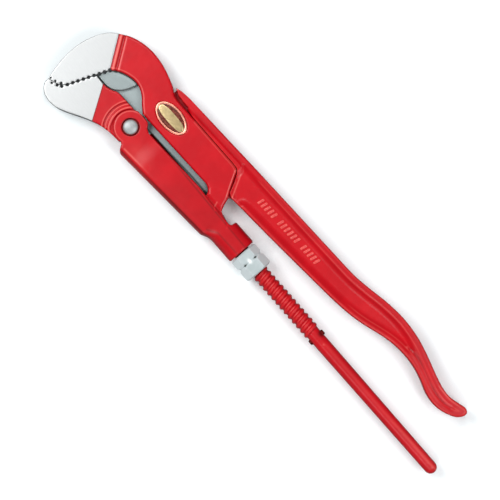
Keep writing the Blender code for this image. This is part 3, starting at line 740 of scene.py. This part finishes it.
def ridge_values(mesh, rounds):
    """How far each vertex stands proud of its neighbours, in millimetres: above 0 on ridges."""
    count = len(mesh.vertices)
    points = read(mesh.vertices, "co", 3) * 1000.0
    edges = read(mesh.edges, "vertices", 2, int)
    normals = read(mesh.vertex_normals, "vector", 3)
    links = np.bincount(edges.ravel(), minlength=count).astype(float)

    def neighbours(values):
        total = np.bincount(edges[:, 0], values[edges[:, 1]], count)
        total += np.bincount(edges[:, 1], values[edges[:, 0]], count)
        return total / np.maximum(links, 1.0)

    softened = [points[:, k] for k in range(3)]
    for _ in range(rounds):
        softened = [0.5 * (values + neighbours(values)) for values in softened]
    proud = ((points - np.stack(softened, 1)) * normals).sum(1)
    for _ in range(2):
        proud = 0.5 * (proud + neighbours(proud))
    return proud


def finish_piece(name, points, faces, rounds=6, **painted):
    """A mesh object from millimetre points, with what its material needs stored on it."""
    mesh = bpy.data.meshes.new(name)
    mesh.from_pydata(place(points).tolist(), [], faces)
    mesh.update()
    mesh.shade_smooth()
    store(mesh, "ridge", ridge_values(mesh, rounds))
    for title, work_out in painted.items():
        store(mesh, title, np.broadcast_to(work_out(*points.T), len(points)))
    return add_object(name, mesh)


def loft(rings):
    """Vertices and faces through rings of equally many points, in order, with both ends closed."""
    n = len(rings[0])
    faces = []
    for k in range(len(rings) - 1):
        for i in range(n):
            j = (i + 1) % n
            faces.append((k * n + i, k * n + j, (k + 1) * n + j, (k + 1) * n + i))
    faces.append(tuple(range(n))[::-1])
    faces.append(tuple((len(rings) - 1) * n + i for i in range(n)))
    return np.concatenate(rings), faces


def circle(n):
    angles = 2.0 * np.pi * np.arange(n) / n
    return np.cos(angles), np.sin(angles)


def ring_of(x, y, z):
    """A ring's points. Each of x, y and z is one number, or one for each point."""
    return np.stack(np.broadcast_arrays(x, y, z), 1)


# The rod, the rivet, the badge and the pin


def thread_height(turn):
    """The thread's profile over one pitch, from 0 at the root to 1 on the crest."""
    return np.interp(0.5 - np.abs(turn % 1.0 - 0.5), [0.06, 0.10, 0.36, 0.41], [0.0, 0.05, 0.95, 1.0])


def rod_ring(x, radius, angles):
    """A ring round the rod's axis. radius is one number or one for each angle."""
    return ring_of(x, ROD_Y + radius * np.cos(angles), radius * np.sin(angles))


def make_rod():
    n = 72
    handle_front = THREAD_END - 10.0
    dome_front = -ROD_REACH + ROD_END_RADIUS
    angles = 2.0 * np.pi * np.arange(n) / n
    near = np.arange(THREAD_START + 9.0, handle_front, -0.3 * COARSE)
    far = np.linspace(handle_front - 1.0, dome_front, 90)
    rings = []
    for x in np.concatenate([near, far]):
        if x > THREAD_START:
            front = np.interp(x, [THREAD_START + 0.6, THREAD_START + 2.6], [ROD_ROOT, ROD_CREST])
            rings.append(rod_ring(x, front, angles))
            continue
        turn = (THREAD_START - x) / THREAD_PITCH + angles / (2.0 * np.pi)
        fade = blend_in(turn, 0.15, 0.9)
        fade = fade * (1.0 - blend_in(turn, THREAD_TURNS + 0.6, THREAD_TURNS + 1.1))
        places = [dome_front, handle_front, THREAD_END - 2.0]
        base = np.interp(x, places, [ROD_END_RADIUS, 5.7, ROD_ROOT])
        height = (ROD_CREST - ROD_ROOT) * thread_height(turn + 0.06)
        rings.append(rod_ring(x, base + height * fade, angles))
    for angle in np.radians(np.linspace(6.0, 88.0, 12)):
        x = -ROD_REACH + ROD_END_RADIUS * (1.0 - math.sin(angle))
        rings.append(rod_ring(x, ROD_END_RADIUS * math.cos(angle), angles))
    points, faces = loft(rings[::-1])
    return finish_piece("threaded_rod_handle", points, faces, rounds=10, tone=rod_tone)


def make_rivet():
    face = CHEEK_FACE - SEAT_DEPTH + 0.1
    top = [
        (RIVET_SHANK, face - 0.5), (RIVET_SHANK, face), (RIVET_HEAD - 0.3, face), (RIVET_HEAD, face + 0.25),
        (RIVET_HEAD - 0.02, face + 0.8), (RIVET_HEAD - 0.5, face + 1.35), (RIVET_HEAD - 1.4, face + 1.8),
        (RIVET_HEAD - 2.8, face + 2.2), (RIVET_HEAD - 4.2, face + 2.4), (0.15, face + 2.48),
    ]
    outline = [(radius, -z) for radius, z in top[::-1]] + top
    cos, sin = circle(64)
    points, faces = loft([ring_of(radius * cos, radius * sin, z) for radius, z in smooth(outline, 3)])
    return finish_piece("rivet", points, faces)


def oval_rings(steps, n):
    """Rings of the badge's oval through (inset, height) pairs."""
    cos, sin = circle(n)
    rings = []
    for inward, z in steps:
        x = BADGE_CENTRE[0] + (BADGE_LENGTH - inward) * cos
        y = BADGE_CENTRE[1] + (BADGE_WIDTH - inward) * sin
        rings.append(ring_of(x, y, z))
    return rings


def make_badge():
    """The gilt plate: a rounded rim standing round a flat bed."""
    floor = PLATE_FACE - BADGE_BED
    top = PLATE_FACE + BADGE_RISE
    bed = PLATE_FACE - BADGE_TROUGH
    steps = [
        (8.6, floor), (0.2, floor), (0.0, floor + 0.2), (0.0, top - 0.5), (0.2, top - 0.2),
        (0.6, top - 0.03), (1.0, top), (1.5, top - 0.05), (1.9, top - 0.22),
        (BADGE_RIM, top - 0.5), (2.2, bed), (8.6, bed),
    ]
    points, faces = loft(oval_rings(steps, 96))
    return finish_piece("badge_plate", points, faces)


def make_badge_lens():
    """The raised gilt lens in the middle of the badge."""
    cos, sin = circle(72)
    across = (BADGE_LENGTH - BADGE_RIM) * np.sign(cos) * np.abs(cos) ** 0.7
    up = BADGE_BAND * np.sign(sin) * np.abs(sin) ** 0.8
    steps = [(1.0, -0.35), (1.0, 0.0), (0.97, 0.14), (0.9, 0.22), (0.6, 0.29), (0.25, 0.33), (0.02, 0.34)]
    rings = []
    for share, z in steps:
        rings.append(ring_of(BADGE_CENTRE[0] + share * across, BADGE_CENTRE[1] + share * up, PLATE_FACE + z))
    points, faces = loft(rings)
    return finish_piece("badge_lens", points, faces)


def make_badge_fill():
    steps = [(8.6, -0.25), (2.3, -0.25), (2.1, -0.1), (2.2, 0.02), (2.6, 0.05), (4.0, 0.06), (8.6, 0.06)]
    steps = [(inward, PLATE_FACE + z) for inward, z in steps]
    points, faces = loft(oval_rings(steps, 96))
    return finish_piece("badge_fill", points, faces)


def make_pin():
    reach = ROD_CREST + 0.2
    half = [(0.1, reach), (PIN_RADIUS - 0.9, reach), (PIN_RADIUS - 0.3, reach - 0.2)]
    half.append((PIN_RADIUS, reach - 0.8))
    outline = [(radius, -along) for radius, along in half] + [(PIN_RADIUS, 0.0)] + half[::-1]
    cos, sin = circle(32)
    rings = [ring_of(PIN_X + radius * cos, ROD_Y + along, radius * sin) for radius, along in outline]
    points, faces = loft([ring[::-1] for ring in rings])
    return finish_piece("cross_pin", points, faces)


def make_bars():
    """A row of plain raised bars on the leg's web, in place of the lettering."""
    n = 16
    bars = 18
    gaps = (5, 12)
    slant = 0.18
    cos, sin = circle(n)
    wide = 1.15 * np.sign(cos) * np.abs(cos) ** 0.6
    tall = 3.1 * np.sign(sin) * np.abs(sin) ** 0.45
    steps = [(1.0, -0.3), (1.0, 0.25), (0.93, 0.5), (0.78, 0.66), (0.45, 0.76), (0.1, 0.8)]
    points = []
    faces = []
    for bar in range(bars):
        if bar in gaps:
            continue
        x = -109.5 - 63.5 * bar / (bars - 1)
        y = -38.0 - 1.9 * bar / (bars - 1)
        rings = []
        for share, z in steps:
            rings.append(ring_of(x + share * (wide + slant * tall), y + share * tall, WEB_HALF + z))
        start = n * len(steps) * len(points)
        ring_points, ring_faces = loft(rings)
        points.append(ring_points)
        faces.extend(tuple(index + start for index in face) for face in ring_faces)
    return finish_piece("raised_bars", np.concatenate(points), faces)


# Materials

RED = (0.52, 0.0030, 0.009, 1.0)
DEEP_RED = (0.42, 0.0020, 0.007, 1.0)
THIN_RED = (0.72, 0.040, 0.034, 1.0)
RED_GLOSS = 0.32
# Painted shade for the enamel's creases and for its edge beside the ground steel.
RED_SHADE_DEEP = (0.090, 0.003, 0.004, 1.0)
PRIMER = (0.30, 0.10, 0.07, 1.0)
# Painted highlight for the enamel.
RED_HIGHLIGHT = (0.86, 0.19, 0.16, 1.0)
SHADED = (0.13, 0.003, 0.004, 1.0)
STEEL = (0.52, 0.53, 0.53, 1.0)
STEEL_DULL = (0.49, 0.50, 0.50, 1.0)
LEDGE = (0.32, 0.375, 0.38, 1.0)
LEDGE_DULL = (0.28, 0.325, 0.325, 1.0)
# Painted shade for upright walls of ground steel.
STEEL_WALL_SHADE = (0.15, 0.155, 0.155, 1.0)
# Painted shade for metal creases and shaded spots.
METAL_SHADE = (0.035, 0.042, 0.036, 1.0)
# Painted highlight for metal.
METAL_HIGHLIGHT = (0.85, 0.88, 0.88, 1.0)
BAR_RED = (0.72, 0.075, 0.066, 1.0)
FILL_DARK = (0.10, 0.014, 0.007, 1.0)
FILL_BROWN = (0.19, 0.032, 0.012, 1.0)
GILT = (0.60, 0.47, 0.25, 1.0)
GILT_DULL = (0.52, 0.40, 0.20, 1.0)
RIM = (0.94, 0.40, 0.29, 1.0)
RIM_DULL = (0.84, 0.32, 0.22, 1.0)
ZINC = (0.45, 0.505, 0.515, 1.0)
ZINC_DULL = (0.39, 0.45, 0.455, 1.0)
# Painted light on the nut's upright flats.
ZINC_SIDE_LIGHT = (0.66, 0.72, 0.73, 1.0)
RIVET = (0.37, 0.39, 0.395, 1.0)
RIVET_DULL = (0.31, 0.33, 0.33, 1.0)
PIN = (0.12, 0.012, 0.010, 1.0)
PIN_DULL = (0.06, 0.010, 0.008, 1.0)
PAPER = (0.93, 0.975, 0.985, 1.0)
PAPER_DULL = (0.91, 0.955, 0.965, 1.0)


def set_sockets(tree, node, sockets):
    for socket, value in sockets:
        if isinstance(value, bpy.types.NodeSocket):
            tree.links.new(value, node.inputs[socket])
        else:
            node.inputs[socket].default_value = value


def make(tree, kind, sockets=(), **settings):
    """A node with settings and (socket, value) pairs, where a value may be another node's output."""
    made = tree.nodes.new(kind)
    for key, value in settings.items():
        setattr(made, key, value)
    set_sockets(tree, made, sockets)
    return made


def noise(tree, coords, scale, detail=3.0, rough=0.55, stretch=None):
    """Noise whose features are about 1 / scale metres wide."""
    if stretch:
        turn, ratio = stretch
        turned = [(0, coords), (2, (0.0, 0.0, turn)), (3, (1.0, ratio, 1.0))]
        coords = make(tree, "ShaderNodeMapping", turned).outputs[0]
    sockets = [(0, coords), ("Scale", scale), ("Detail", detail), ("Roughness", rough)]
    return make(tree, "ShaderNodeTexNoise", sockets).outputs[0]


def remap(tree, value, low, high, to_low=0.0, to_high=1.0):
    """value moved from low..high to to_low..to_high, with soft ends."""
    sockets = [(0, value), (1, low), (2, high), (3, to_low), (4, to_high)]
    return make(tree, "ShaderNodeMapRange", sockets, interpolation_type="SMOOTHSTEP").outputs[0]


def times(tree, a, b):
    return make(tree, "ShaderNodeMath", [(0, a), (1, b)], operation="MULTIPLY").outputs[0]


def blend(tree, factor, a, b):
    sockets = [(0, factor), (6, a), (7, b)]
    return make(tree, "ShaderNodeMix", sockets, data_type="RGBA", clamp_factor=True).outputs[2]


def mix_value(tree, factor, a, b):
    return make(tree, "ShaderNodeMix", [(0, factor), (2, a), (3, b)], clamp_factor=True).outputs[0]


def attribute(tree, name):
    return make(tree, "ShaderNodeAttribute", attribute_name=name).outputs["Fac"]


def bump(tree, height, distance, under=None):
    sockets = [("Height", height), ("Distance", distance), ("Strength", 1.0)]
    if under is not None:
        sockets.append(("Normal", under))
    return make(tree, "ShaderNodeBump", sockets).outputs[0]


def new_material(name):
    made = bpy.data.materials.new(name)
    made.use_nodes = True
    tree = made.node_tree
    coords = make(tree, "ShaderNodeTexCoord").outputs["Object"]
    return made, tree, tree.nodes["Principled BSDF"], coords


def join_up(tree, shader, **values):
    set_sockets(tree, shader, [(name.replace("_", " "), value) for name, value in values.items()])


def flank(tree, level_until=0.75, upright_from=0.10):
    """1 on walls that stand upright, 0 on faces that lie level."""
    normal = make(tree, "ShaderNodeNewGeometry").outputs["Normal"]
    level = make(tree, "ShaderNodeSeparateXYZ", [(0, normal)]).outputs[2]
    upward = make(tree, "ShaderNodeMath", [(0, level)], operation="ABSOLUTE").outputs[0]
    return remap(tree, upward, level_until, upright_from)


def toned(tree, colour, highlight_colour, shade_colour):
    """The colour, painted towards a highlight colour or a shade colour where the mesh's painted
    light-and-shade values say so.
    """
    tone = attribute(tree, "tone")
    colour = blend(tree, remap(tree, tone, 0.0, 1.0), colour, highlight_colour)
    return blend(tree, remap(tree, tone, 0.0, -1.0), colour, shade_colour)


def enamel_bump(tree, coords, wave_height):
    """Slow waves in the enamel, and the fine peel of its surface."""
    waves = bump(tree, noise(tree, coords, 95.0, 2.0), wave_height)
    return bump(tree, noise(tree, coords, 620.0, 2.0), 0.000006, waves)


def red_look(tree, coords, ridge, crease_shade=0.45):
    """Baked enamel over a forging: its colour with painted shade and painted highlights, and its roughness.
    """
    cloud = noise(tree, coords, 55.0)
    fine = noise(tree, coords, 420.0, 4.0)
    colour = blend(tree, remap(tree, cloud, 0.35, 0.68), DEEP_RED, RED)
    colour = blend(tree, 0.4, colour, RED)
    thin = times(tree, remap(tree, ridge, 0.06, 0.30), remap(tree, fine, 0.35, 0.7, 0.35, 0.9))
    colour = blend(tree, thin, colour, THIN_RED)
    # Painted shade in the creases.
    creased = remap(tree, ridge, -0.08, -0.40, 0.0, crease_shade)
    colour = blend(tree, creased, colour, RED_SHADE_DEEP)
    chips = remap(tree, noise(tree, coords, 900.0, 2.0), 0.70, 0.74)
    specks = times(tree, chips, remap(tree, ridge, 0.12, 0.30))
    colour = blend(tree, specks, colour, PRIMER)
    # Painted shade on upright walls.
    colour = blend(tree, times(tree, flank(tree), 0.5), colour, SHADED)
    colour = toned(tree, colour, RED_HIGHLIGHT, SHADED)
    rough = remap(tree, fine, 0.3, 0.7, 0.30, 0.33)
    rough = mix_value(tree, creased, rough, 0.45)
    rough = mix_value(tree, specks, rough, 0.55)
    return colour, rough


def steel_look(tree, coords, ridge, turn, bright, dull):
    """Ground steel: streaks of the wheel and dull patches, with painted shade in creases and on walls."""
    streaks = noise(tree, coords, 260.0, 5.0, 0.6, (turn, 14.0))
    cloud = noise(tree, coords, 90.0)
    colour = blend(tree, remap(tree, streaks, 0.3, 0.7), dull, bright)
    colour = blend(tree, remap(tree, cloud, 0.58, 0.78, 0.0, 0.35), colour, dull)
    # Painted shade in creases and on upright walls.
    colour = blend(tree, remap(tree, ridge, -0.04, -0.25, 0.0, 0.85), colour, METAL_SHADE)
    colour = blend(tree, times(tree, flank(tree, 0.98, 0.6), 0.8), colour, STEEL_WALL_SHADE)
    # Painted shade where the mesh's painted light-and-shade values fall below 0.
    colour = blend(tree, remap(tree, attribute(tree, "tone"), 0.0, -1.0), colour, METAL_SHADE)
    rough = remap(tree, streaks, 0.3, 0.7, 0.42, 0.37)
    return colour, rough, streaks


def forging_material(name, turn):
    """Red enamel, and bare steel where the piece is ground."""
    made, tree, shader, coords = new_material(name)
    ridge = attribute(tree, "ridge")
    ragged = remap(tree, noise(tree, coords, 800.0), 0.2, 0.8, -0.08, 0.08)
    ground = [(0, attribute(tree, "bare")), (1, ragged)]
    edge = make(tree, "ShaderNodeMath", ground, operation="ADD").outputs[0]
    bare = remap(tree, edge, -0.08, 0.08)
    red, red_rough = red_look(tree, coords, ridge)
    # Steel below the jaw faces is a duller machined finish, and it is also painted darker for the shade in
    # the recesses.
    height = make(tree, "ShaderNodeSeparateXYZ", [(0, coords)]).outputs[2]
    jaw = remap(tree, height, ORIGIN.z + 0.0055, ORIGIN.z + 0.0065)
    near = blend(tree, jaw, LEDGE, STEEL)
    far = blend(tree, jaw, LEDGE_DULL, STEEL_DULL)
    steel, steel_rough, streaks = steel_look(tree, coords, ridge, turn, near, far)
    # Painted shade along the enamel's edge where it meets the ground steel.
    red = blend(tree, remap(tree, edge, -1.1, -0.1, 0.0, 0.75), red, RED_SHADE_DEEP)
    normals = [(0, bare), (4, enamel_bump(tree, coords, 0.00016)), (5, bump(tree, streaks, 0.000008))]
    normal = make(tree, "ShaderNodeMix", normals, data_type="VECTOR", clamp_factor=True).outputs[1]
    join_up(
        tree,
        shader,
        Base_Color=blend(tree, bare, red, steel),
        Metallic=times(tree, bare, 0.7),
        Roughness=mix_value(tree, bare, red_rough, steel_rough),
        Normal=normal,
        Specular_IOR_Level=RED_GLOSS,
    )
    return made


def enamel_material(name, wave_height, crease_shade):
    made, tree, shader, coords = new_material(name)
    red, rough = red_look(tree, coords, attribute(tree, "ridge"), crease_shade)
    wavy = enamel_bump(tree, coords, wave_height)
    join_up(tree, shader, Base_Color=red, Roughness=rough, Normal=wavy, Specular_IOR_Level=RED_GLOSS)
    return made


def metal_material(name, bright, dull, rough_range, streak, depth, metallic=1.0, crease_shade=0.9, side=None):
    """Plated or plain metal with painted shade in its creases, worn bright edges, and painted highlights.

    streak is how fine the streaks are, and how much longer than wide. side is a lighter colour
    painted on upright walls, a painted highlight.
    """
    made, tree, shader, coords = new_material(name)
    ridge = attribute(tree, "ridge")
    fineness, ratio = streak
    streaks = noise(tree, coords, fineness, 4.0, 0.6, (0.0, ratio))
    cloud = noise(tree, coords, 160.0)
    colour = blend(tree, remap(tree, cloud, 0.3, 0.7), dull, bright)
    colour = blend(tree, remap(tree, ridge, 0.03, 0.15, 0.0, 0.7), colour, bright)
    # Upright walls painted lighter: painted light.
    if side is not None:
        colour = blend(tree, flank(tree, 0.9, 0.45), colour, side)
    # Painted shade in creases.
    colour = blend(tree, remap(tree, ridge, -0.04, -0.20, 0.0, crease_shade), colour, METAL_SHADE)
    # Painted highlights and painted shade from the mesh's values.
    colour = toned(tree, colour, METAL_HIGHLIGHT, METAL_SHADE)
    rough = remap(tree, streaks, 0.3, 0.7, *rough_range)
    fine = bump(tree, streaks, depth)
    join_up(tree, shader, Base_Color=colour, Metallic=metallic, Roughness=rough, Normal=fine)
    return made


def bars_material():
    """Enamel painted paler in patches on the raised bars."""
    made, tree, shader, coords = new_material("bars_look")
    red, rough = red_look(tree, coords, attribute(tree, "ridge"))
    paler = remap(tree, noise(tree, coords, 500.0, 4.0), 0.3, 0.65, 0.4, 0.9)
    colour = blend(tree, paler, red, BAR_RED)
    join_up(tree, shader, Base_Color=colour, Roughness=rough)
    return made


def fill_material():
    """Dark fired enamel in the badge's trough."""
    made, tree, shader, coords = new_material("badge_fill_look")
    cloud = noise(tree, coords, 500.0, 4.0)
    colour = blend(tree, remap(tree, cloud, 0.35, 0.7), FILL_DARK, FILL_BROWN)
    rough = remap(tree, cloud, 0.3, 0.7, 0.22, 0.36)
    join_up(tree, shader, Base_Color=colour, Roughness=rough, Normal=bump(tree, cloud, 0.00002))
    return made


def floor_material():
    made, tree, shader, coords = new_material("paper_floor")
    fibre = noise(tree, coords, 900.0)
    colour = blend(tree, remap(tree, fibre, 0.3, 0.7), PAPER_DULL, PAPER)
    join_up(tree, shader, Base_Color=colour, Roughness=0.9)
    return made


# The pieces


def meshed(name, shape, x_spans, y_span, z_span, **painted):
    lines = [grid_lines(*x_spans), grid_lines(y_span), grid_lines(z_span)]
    return finish_piece(name, *surface(shape, *lines), **painted)


def make_pieces():
    """Each piece with its material, its body, its slot and the CAD node that it stands for."""
    hook_spans = [(-111.5, -96.0, 0.7), (-96.0, 76.0, 0.48)], (-52.0, 24.2, 0.48), (-9.1, 9.1, 0.48)
    leg_x = [(-339.5, -200.0, 1.15), (-200.0, -106.0, 1.35), (-106.0, 71.0, 0.62)]
    leg_spans = leg_x, (-62.6, 35.4, 0.6), (-9.1, 9.1, 0.55)
    sleeve_spans = [(-130.0, 14.6, 0.52)], (-14.4, 21.0, 0.5), (-11.8, 11.8, 0.5)
    nut_spans = [(-150.9, -129.1, 0.36)], (-13.9, 11.5, 0.36), (-11.1, 11.1, 0.36)
    hook = meshed("hook_jaw", hook_shape, *hook_spans, bare=hook_bare, tone=hook_tone)
    leg = meshed("long_leg_forging", leg_shape, *leg_spans, bare=leg_bare, tone=leg_tone)
    sleeve = meshed("folded_sleeve", sleeve_shape, *sleeve_spans, tone=sleeve_tone)
    nut = meshed("hex_nut", nut_shape, *nut_spans, tone=nut_tone)
    gilt = metal_material("gilt_look", GILT, GILT_DULL, (0.28, 0.42), (900.0, 3.0), 0.00002)
    rim = metal_material("gilt_rim_look", RIM, RIM_DULL, (0.25, 0.4), (900.0, 3.0), 0.00001)
    zinc = metal_material(
        "zinc_look", ZINC, ZINC_DULL, (0.35, 0.5), (500.0, 6.0), 0.00001, 0.1, 0.3, ZINC_SIDE_LIGHT
    )
    bright = metal_material("rivet_look", RIVET, RIVET_DULL, (0.42, 0.5), (700.0, 1.0), 0.000004, 0.5)
    dark = metal_material("pin_look", PIN, PIN_DULL, (0.35, 0.5), (700.0, 1.0), 0.00002)
    hook_red = forging_material("hook_look", -0.95)
    leg_red = forging_material("leg_look", 2.1)
    sleeve_red = enamel_material("sleeve_look", 0.00014, 0.45)
    rod_red = enamel_material("rod_look", 0.00004, 0.15)
    return [
        (hook, hook_red, "hook_leg", "red_enamel_hook", "hook_jaw_leg"),
        (make_rod(), rod_red, "hook_leg", "red_enamel_hook", None),
        (leg, leg_red, "long_leg", "red_enamel_leg", "lower_jaw_leg"),
        (make_bars(), bars_material(), "long_leg", "red_enamel_leg", None),
        (sleeve, sleeve_red, "sleeve_body", "red_enamel_sleeve", "sleeve"),
        (nut, zinc, "nut", "zinc_plate", "adjusting_nut"),
        (make_rivet(), bright, "sleeve_body", "bright_steel", "pivot_rivet"),
        (make_badge(), rim, "hook_leg", "gilt", "badge"),
        (make_badge_lens(), gilt, "hook_leg", "gilt", None),
        (make_badge_fill(), fill_material(), "hook_leg", "dark_enamel", "badge_enamel"),
        (make_pin(), dark, "hook_leg", "dark_steel", "stop_pin"),
    ]


def dress(pieces):
    for piece, look, body, slot, node in pieces:
        piece.data.materials.append(look)
        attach(piece, body)
        if node:
            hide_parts(node)


# The studio


def make_floor():
    half = 2.5
    points = [(-half, -half, 0.0), (half, -half, 0.0), (half, half, 0.0), (-half, half, 0.0)]
    mesh = bpy.data.meshes.new("studio_floor")
    mesh.from_pydata(points, [], [(0, 1, 2, 3)])
    mesh.materials.append(floor_material())
    floor = add_object("studio_floor", mesh)
    floor.visible_glossy = False


def aim(obj, position, target, up):
    """Puts obj at position, facing target, with up towards the top of its view."""
    back = (Vector(position) - Vector(target)).normalized()
    right = Vector(up).cross(back).normalized()
    turn = Matrix((right, back.cross(right), back)).transposed()
    obj.matrix_world = Matrix.Translation(position) @ turn.to_4x4()


# Name, metres right, up and above the middle of the view, size in metres, and watts.
LIGHTS = [
    ("key_left", -0.66, 0.38, 1.05, 0.70, 10.7),
    ("key_right", 0.66, -0.32, 1.08, 0.62, 7.7),
    ("strip_top", 0.10, 0.80, 1.05, 0.50, 4.4),
    ("strip_bottom", -0.25, -0.75, 1.05, 0.45, 3.3),
]


def make_light(name, right, up, height, size, power):
    """A square softbox, placed by the picture's right and up, facing the wrench."""
    data = bpy.data.lights.new(name, "AREA")
    data.size = size
    data.energy = power
    position = VIEW_CENTRE + VIEW_RIGHT * right + VIEW_UP * up + Vector((0.0, 0.0, height))
    aim(add_object(name, data), position, VIEW_CENTRE, VIEW_UP)


def make_camera():
    data = bpy.data.cameras.new("camera")
    data.lens = 150.0
    data.sensor_width = 36.0
    data.clip_end = 20.0
    camera = add_object("camera", data)
    distance = FRAME_WIDTH * data.lens / data.sensor_width
    aim(camera, VIEW_CENTRE + Vector((0.0, 0.0, distance)), VIEW_CENTRE, VIEW_UP)
    bpy.context.scene.camera = camera


def make_studio():
    make_floor()
    for light in LIGHTS:
        make_light(*light)
    world = bpy.data.worlds.new("studio")
    world.use_nodes = True
    tree = world.node_tree
    background = tree.nodes["Background"]
    background.inputs["Color"].default_value = (0.80, 0.84, 0.88, 1.0)
    seen = make(tree, "ShaderNodeLightPath").outputs["Is Camera Ray"]
    tree.links.new(mix_value(tree, seen, 0.22, 1.1), background.inputs["Strength"])
    bpy.context.scene.world = world
    bpy.context.scene.view_settings.view_transform = "Standard"


dress(make_pieces())
make_studio()
make_camera()
